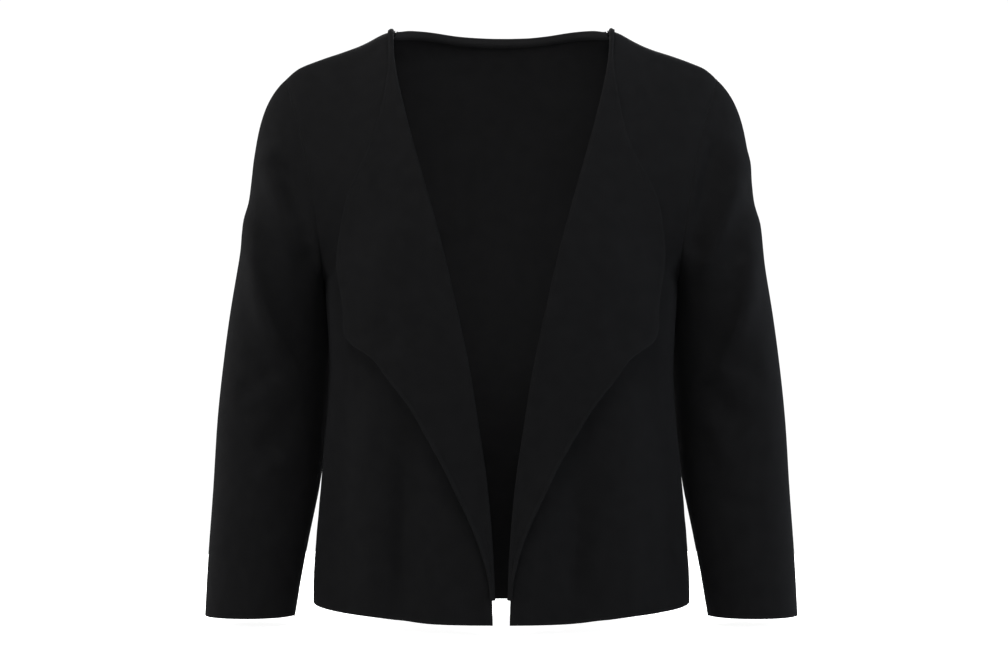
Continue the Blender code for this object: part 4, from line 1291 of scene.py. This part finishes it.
def stitched(name, lines, tree, seed):
    """Linked stitches along the lines, as one plain mesh."""
    places, runs, outs = [], [], []
    for points, normals in lines:
        points, normals = spaced(points, normals, STITCH_SPACING)
        places.append(points - normals * (SEAM_SINK + STITCH_WIDTH * STITCH_SINK))
        runs.append(unit(np.gradient(points, axis=0)))
        outs.append(normals)
    places, runs, outs = (np.concatenate(part) for part in (places, runs, outs))
    data = bpy.data.meshes.new(name + "_places")
    data.from_pydata(places.tolist(), [], [])
    for label, values in (("run", runs), ("out", outs)):
        made = data.attributes.new(label, "FLOAT_VECTOR", "POINT")
        made.data.foreach_set("vector", values.astype(np.float32).ravel())
    source = new_object(name + "_places", data)
    modifier = source.modifiers.new("Stitches", "NODES")
    modifier.node_group = tree
    for socket in tree.interface.items_tree:
        if socket.in_out == "INPUT" and socket.name == "Seed":
            modifier[socket.identifier] = seed
    graph = bpy.context.evaluated_depsgraph_get()
    mesh = bpy.data.meshes.new_from_object(source.evaluated_get(graph))
    bpy.data.objects.remove(source, do_unlink=True)
    mesh.name = name
    mesh.shade_smooth()
    return new_object(name, mesh)


# ---------------------------------------------------------------------------------------------------
# Floor, light and camera
# ---------------------------------------------------------------------------------------------------

FLOOR_Z = -0.5565
FLOOR_RADIUS, FLOOR_SIDES = 0.9, 96
FLOOR_COLOUR, FLOOR_ROUGHNESS = (0.93, 0.93, 0.93, 1.0), 0.95
FLOOR_GLOW = 0.95  # brightness of the floor in the picture, beside what the lamps give it
SKY_SEEN = 1.05  # brightness of the white surroundings in the picture
SKY_LIGHT = 0.10  # and as light on the garment
CAMERA_PLACE = (0.0025, -2.6, -0.2867)
CAMERA_LENS, CAMERA_FILM = 98.8, 36.0

PLAIN, COOL = (1.0, 1.0, 1.0), (0.88, 0.93, 1.0)
MIDDLE_OF_BODY = (0.0, 0.0, -0.25)
LAMPS = table(
    "name place aim width height power colour",
    ("front_softbox", (0.0, -2.9, -0.22), MIDDLE_OF_BODY, 0.4, 0.4, 7, PLAIN),
    ("inside_softbox", (0.0, -0.09, -0.17), (0.0, 0.1, -0.17), 0.03, 0.28, 0.24, PLAIN),
    ("upper_softbox", (0.0, -0.70, 0.55), (0.0, 0.0, -0.12), 0.8, 0.4, 11, PLAIN),
    ("left_softbox", (-1.2, -0.45, 0.15), MIDDLE_OF_BODY, 0.3, 0.9, 10, PLAIN),
    ("right_softbox", (1.2, -0.45, 0.15), MIDDLE_OF_BODY, 0.3, 0.9, 10, COOL),
    ("left_back_softbox", (-1.2, 0.5, 0.2), MIDDLE_OF_BODY, 0.4, 0.9, 14, PLAIN),
    ("right_back_softbox", (1.2, 0.5, 0.2), MIDDLE_OF_BODY, 0.4, 0.9, 14, COOL),
    ("back_softbox", (0.0, 1.6, 0.6), MIDDLE_OF_BODY, 1.2, 0.8, 34, PLAIN),
)


def make_floor():
    """A wide pale floor that the lamps light and the camera sees as bright as the surroundings."""
    data = bpy.data.meshes.new("studio_floor")
    turns = [2 * math.pi * step / FLOOR_SIDES for step in range(FLOOR_SIDES)]
    rim = [(FLOOR_RADIUS * math.cos(turn), FLOOR_RADIUS * math.sin(turn), FLOOR_Z) for turn in turns]
    data.from_pydata(rim, [], [tuple(range(FLOOR_SIDES))])
    floor = new_object("studio_floor", data)
    paint, tree, shader = new_material("floor_paint")
    in_picture = node(tree, "ShaderNodeLightPath").outputs["Is Camera Ray"]
    feed(tree, shader, {
        "Base Color": FLOOR_COLOUR,
        "Roughness": FLOOR_ROUGHNESS,
        "Specular IOR Level": 0.0,
        "Emission Color": (*PLAIN, 1.0),
        "Emission Strength": math_node(tree, "MULTIPLY", in_picture, FLOOR_GLOW),
    })
    data.materials.append(paint)


def make_light():
    """White surroundings and the lamps."""
    world = bpy.data.worlds.new("studio")
    world.use_nodes = True
    tree = world.node_tree
    in_picture = node(tree, "ShaderNodeLightPath").outputs["Is Camera Ray"]
    feed(tree, tree.nodes["Background"], {
        "Color": (*PLAIN, 1.0),
        "Strength": math_node(tree, "MULTIPLY_ADD", in_picture, SKY_SEEN - SKY_LIGHT, SKY_LIGHT),
    })
    bpy.context.scene.world = world
    for row in LAMPS:
        lamp = bpy.data.lights.new(row.name, "AREA")
        lamp.shape = "RECTANGLE"
        lamp.size, lamp.size_y = row.width, row.height
        lamp.energy = row.power
        lamp.color = row.colour
        made = new_object(row.name, lamp)
        made.location = row.place
        made.rotation_euler = direction([end - start for start, end in zip(row.place, row.aim)])
        made.visible_camera = False


def make_camera():
    """The camera of the photograph's view."""
    scene = bpy.context.scene
    eye = bpy.data.cameras.new("camera")
    eye.lens, eye.sensor_width = CAMERA_LENS, CAMERA_FILM
    scene.camera = new_object("camera", eye)
    scene.camera.location = CAMERA_PLACE
    scene.camera.rotation_euler = (math.pi / 2, 0.0, 0.0)
    scene.view_settings.view_transform = "Standard"
    scene.view_settings.look = "None"


def direction(aim):
    """Turn that points an object's -Z along aim, with its X level."""
    x, y, z = aim
    flat = math.hypot(x, y)
    return (math.atan2(flat, -z), 0.0, math.atan2(-x, y) if flat else 0.0)


# ---------------------------------------------------------------------------------------------------
# The garment
# ---------------------------------------------------------------------------------------------------

# The cut of each piece, flat: the rectangle it is cut from and its area, then how it is held and where
Cut = namedtuple("Cut", "width length area held rests_on")
CUTS = {
    "back": Cut(0.455, 0.560, 0.2202, "hung", ["front_left_cloth", "front_right_cloth"]),
    "neck": Cut(0.250, 0.010, None, "hung", ["back_cloth"]),
    "front": Cut(0.335, 0.565, 0.1218, "folded", ["back_cloth"]),
    "sleeve": Cut(0.345, 0.500, 0.1280, "hung", ["back_cloth"]),
}
# A point inside the garment that the outer face of each piece turns away from, on the left side
BACK_INSIDE, NECK_INSIDE = (0.0, 0.0, -0.25), (0.0, 0.0, -0.05)
FRONT_INSIDE, SLEEVE_INSIDE = (0.10, 0.0, -0.25), (0.22, 0.0, -0.25)


def dress():
    """The cloth and seams of every piece, each on the body with the solid it stands for."""
    stitches, nap = knit_group(), nap_group()
    knit, band_knit = (knit_material(row, stitches, nap) for row in KNITS)
    yarn = yarn_material(nap)
    tree = stitch_tree(yarn)
    made = {
        "back": cloth_mesh("back_cloth", back_sheet(), BACK_INSIDE, knit),
        "neck_band": cloth_mesh("neck_band_cloth", band_sheet(), NECK_INSIDE, band_knit),
    }
    trims = {"back": [], "neck_band": []}
    for side, word in ((1, "left"), (-1, "right")):
        mirror = np.array((side, 1, 1))
        for kind, sheets, inside in (
            ("front", front_sheets(side), FRONT_INSIDE), ("sleeve", sleeve_sheet(side), SLEEVE_INSIDE)
        ):
            sheets = [sheet._replace(points=sheet.points * mirror) for sheet in sheets]
            made[f"{kind}_{word}"] = cloth_mesh(f"{kind}_{word}_cloth", sheets, inside * mirror, knit)
        lines = seam_lines(side)
        for kind, part, names, seed in (
            ("front", "body", ("shoulder", "side"), BODY_STITCH_SEED),
            ("sleeve", "sleeve", ("armhole", "underarm"), SLEEVE_STITCH_SEED),
        ):
            sewn = [lines[name] for name in names]
            trims[f"{kind}_{word}"] = [
                seam_cord(f"{part}_seams_{word}", sewn, yarn),
                stitched(f"{part}_stitches_{word}", sewn, tree, seed + side),
            ]
    for label, piece in made.items():
        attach(piece, "root")
        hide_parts(label)
        for trim in trims[label]:
            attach(trim, "root")
    for label, piece in made.items():
        cut = CUTS[label.split("_")[0]]
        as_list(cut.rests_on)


make_floor()
make_light()
make_camera()
dress()
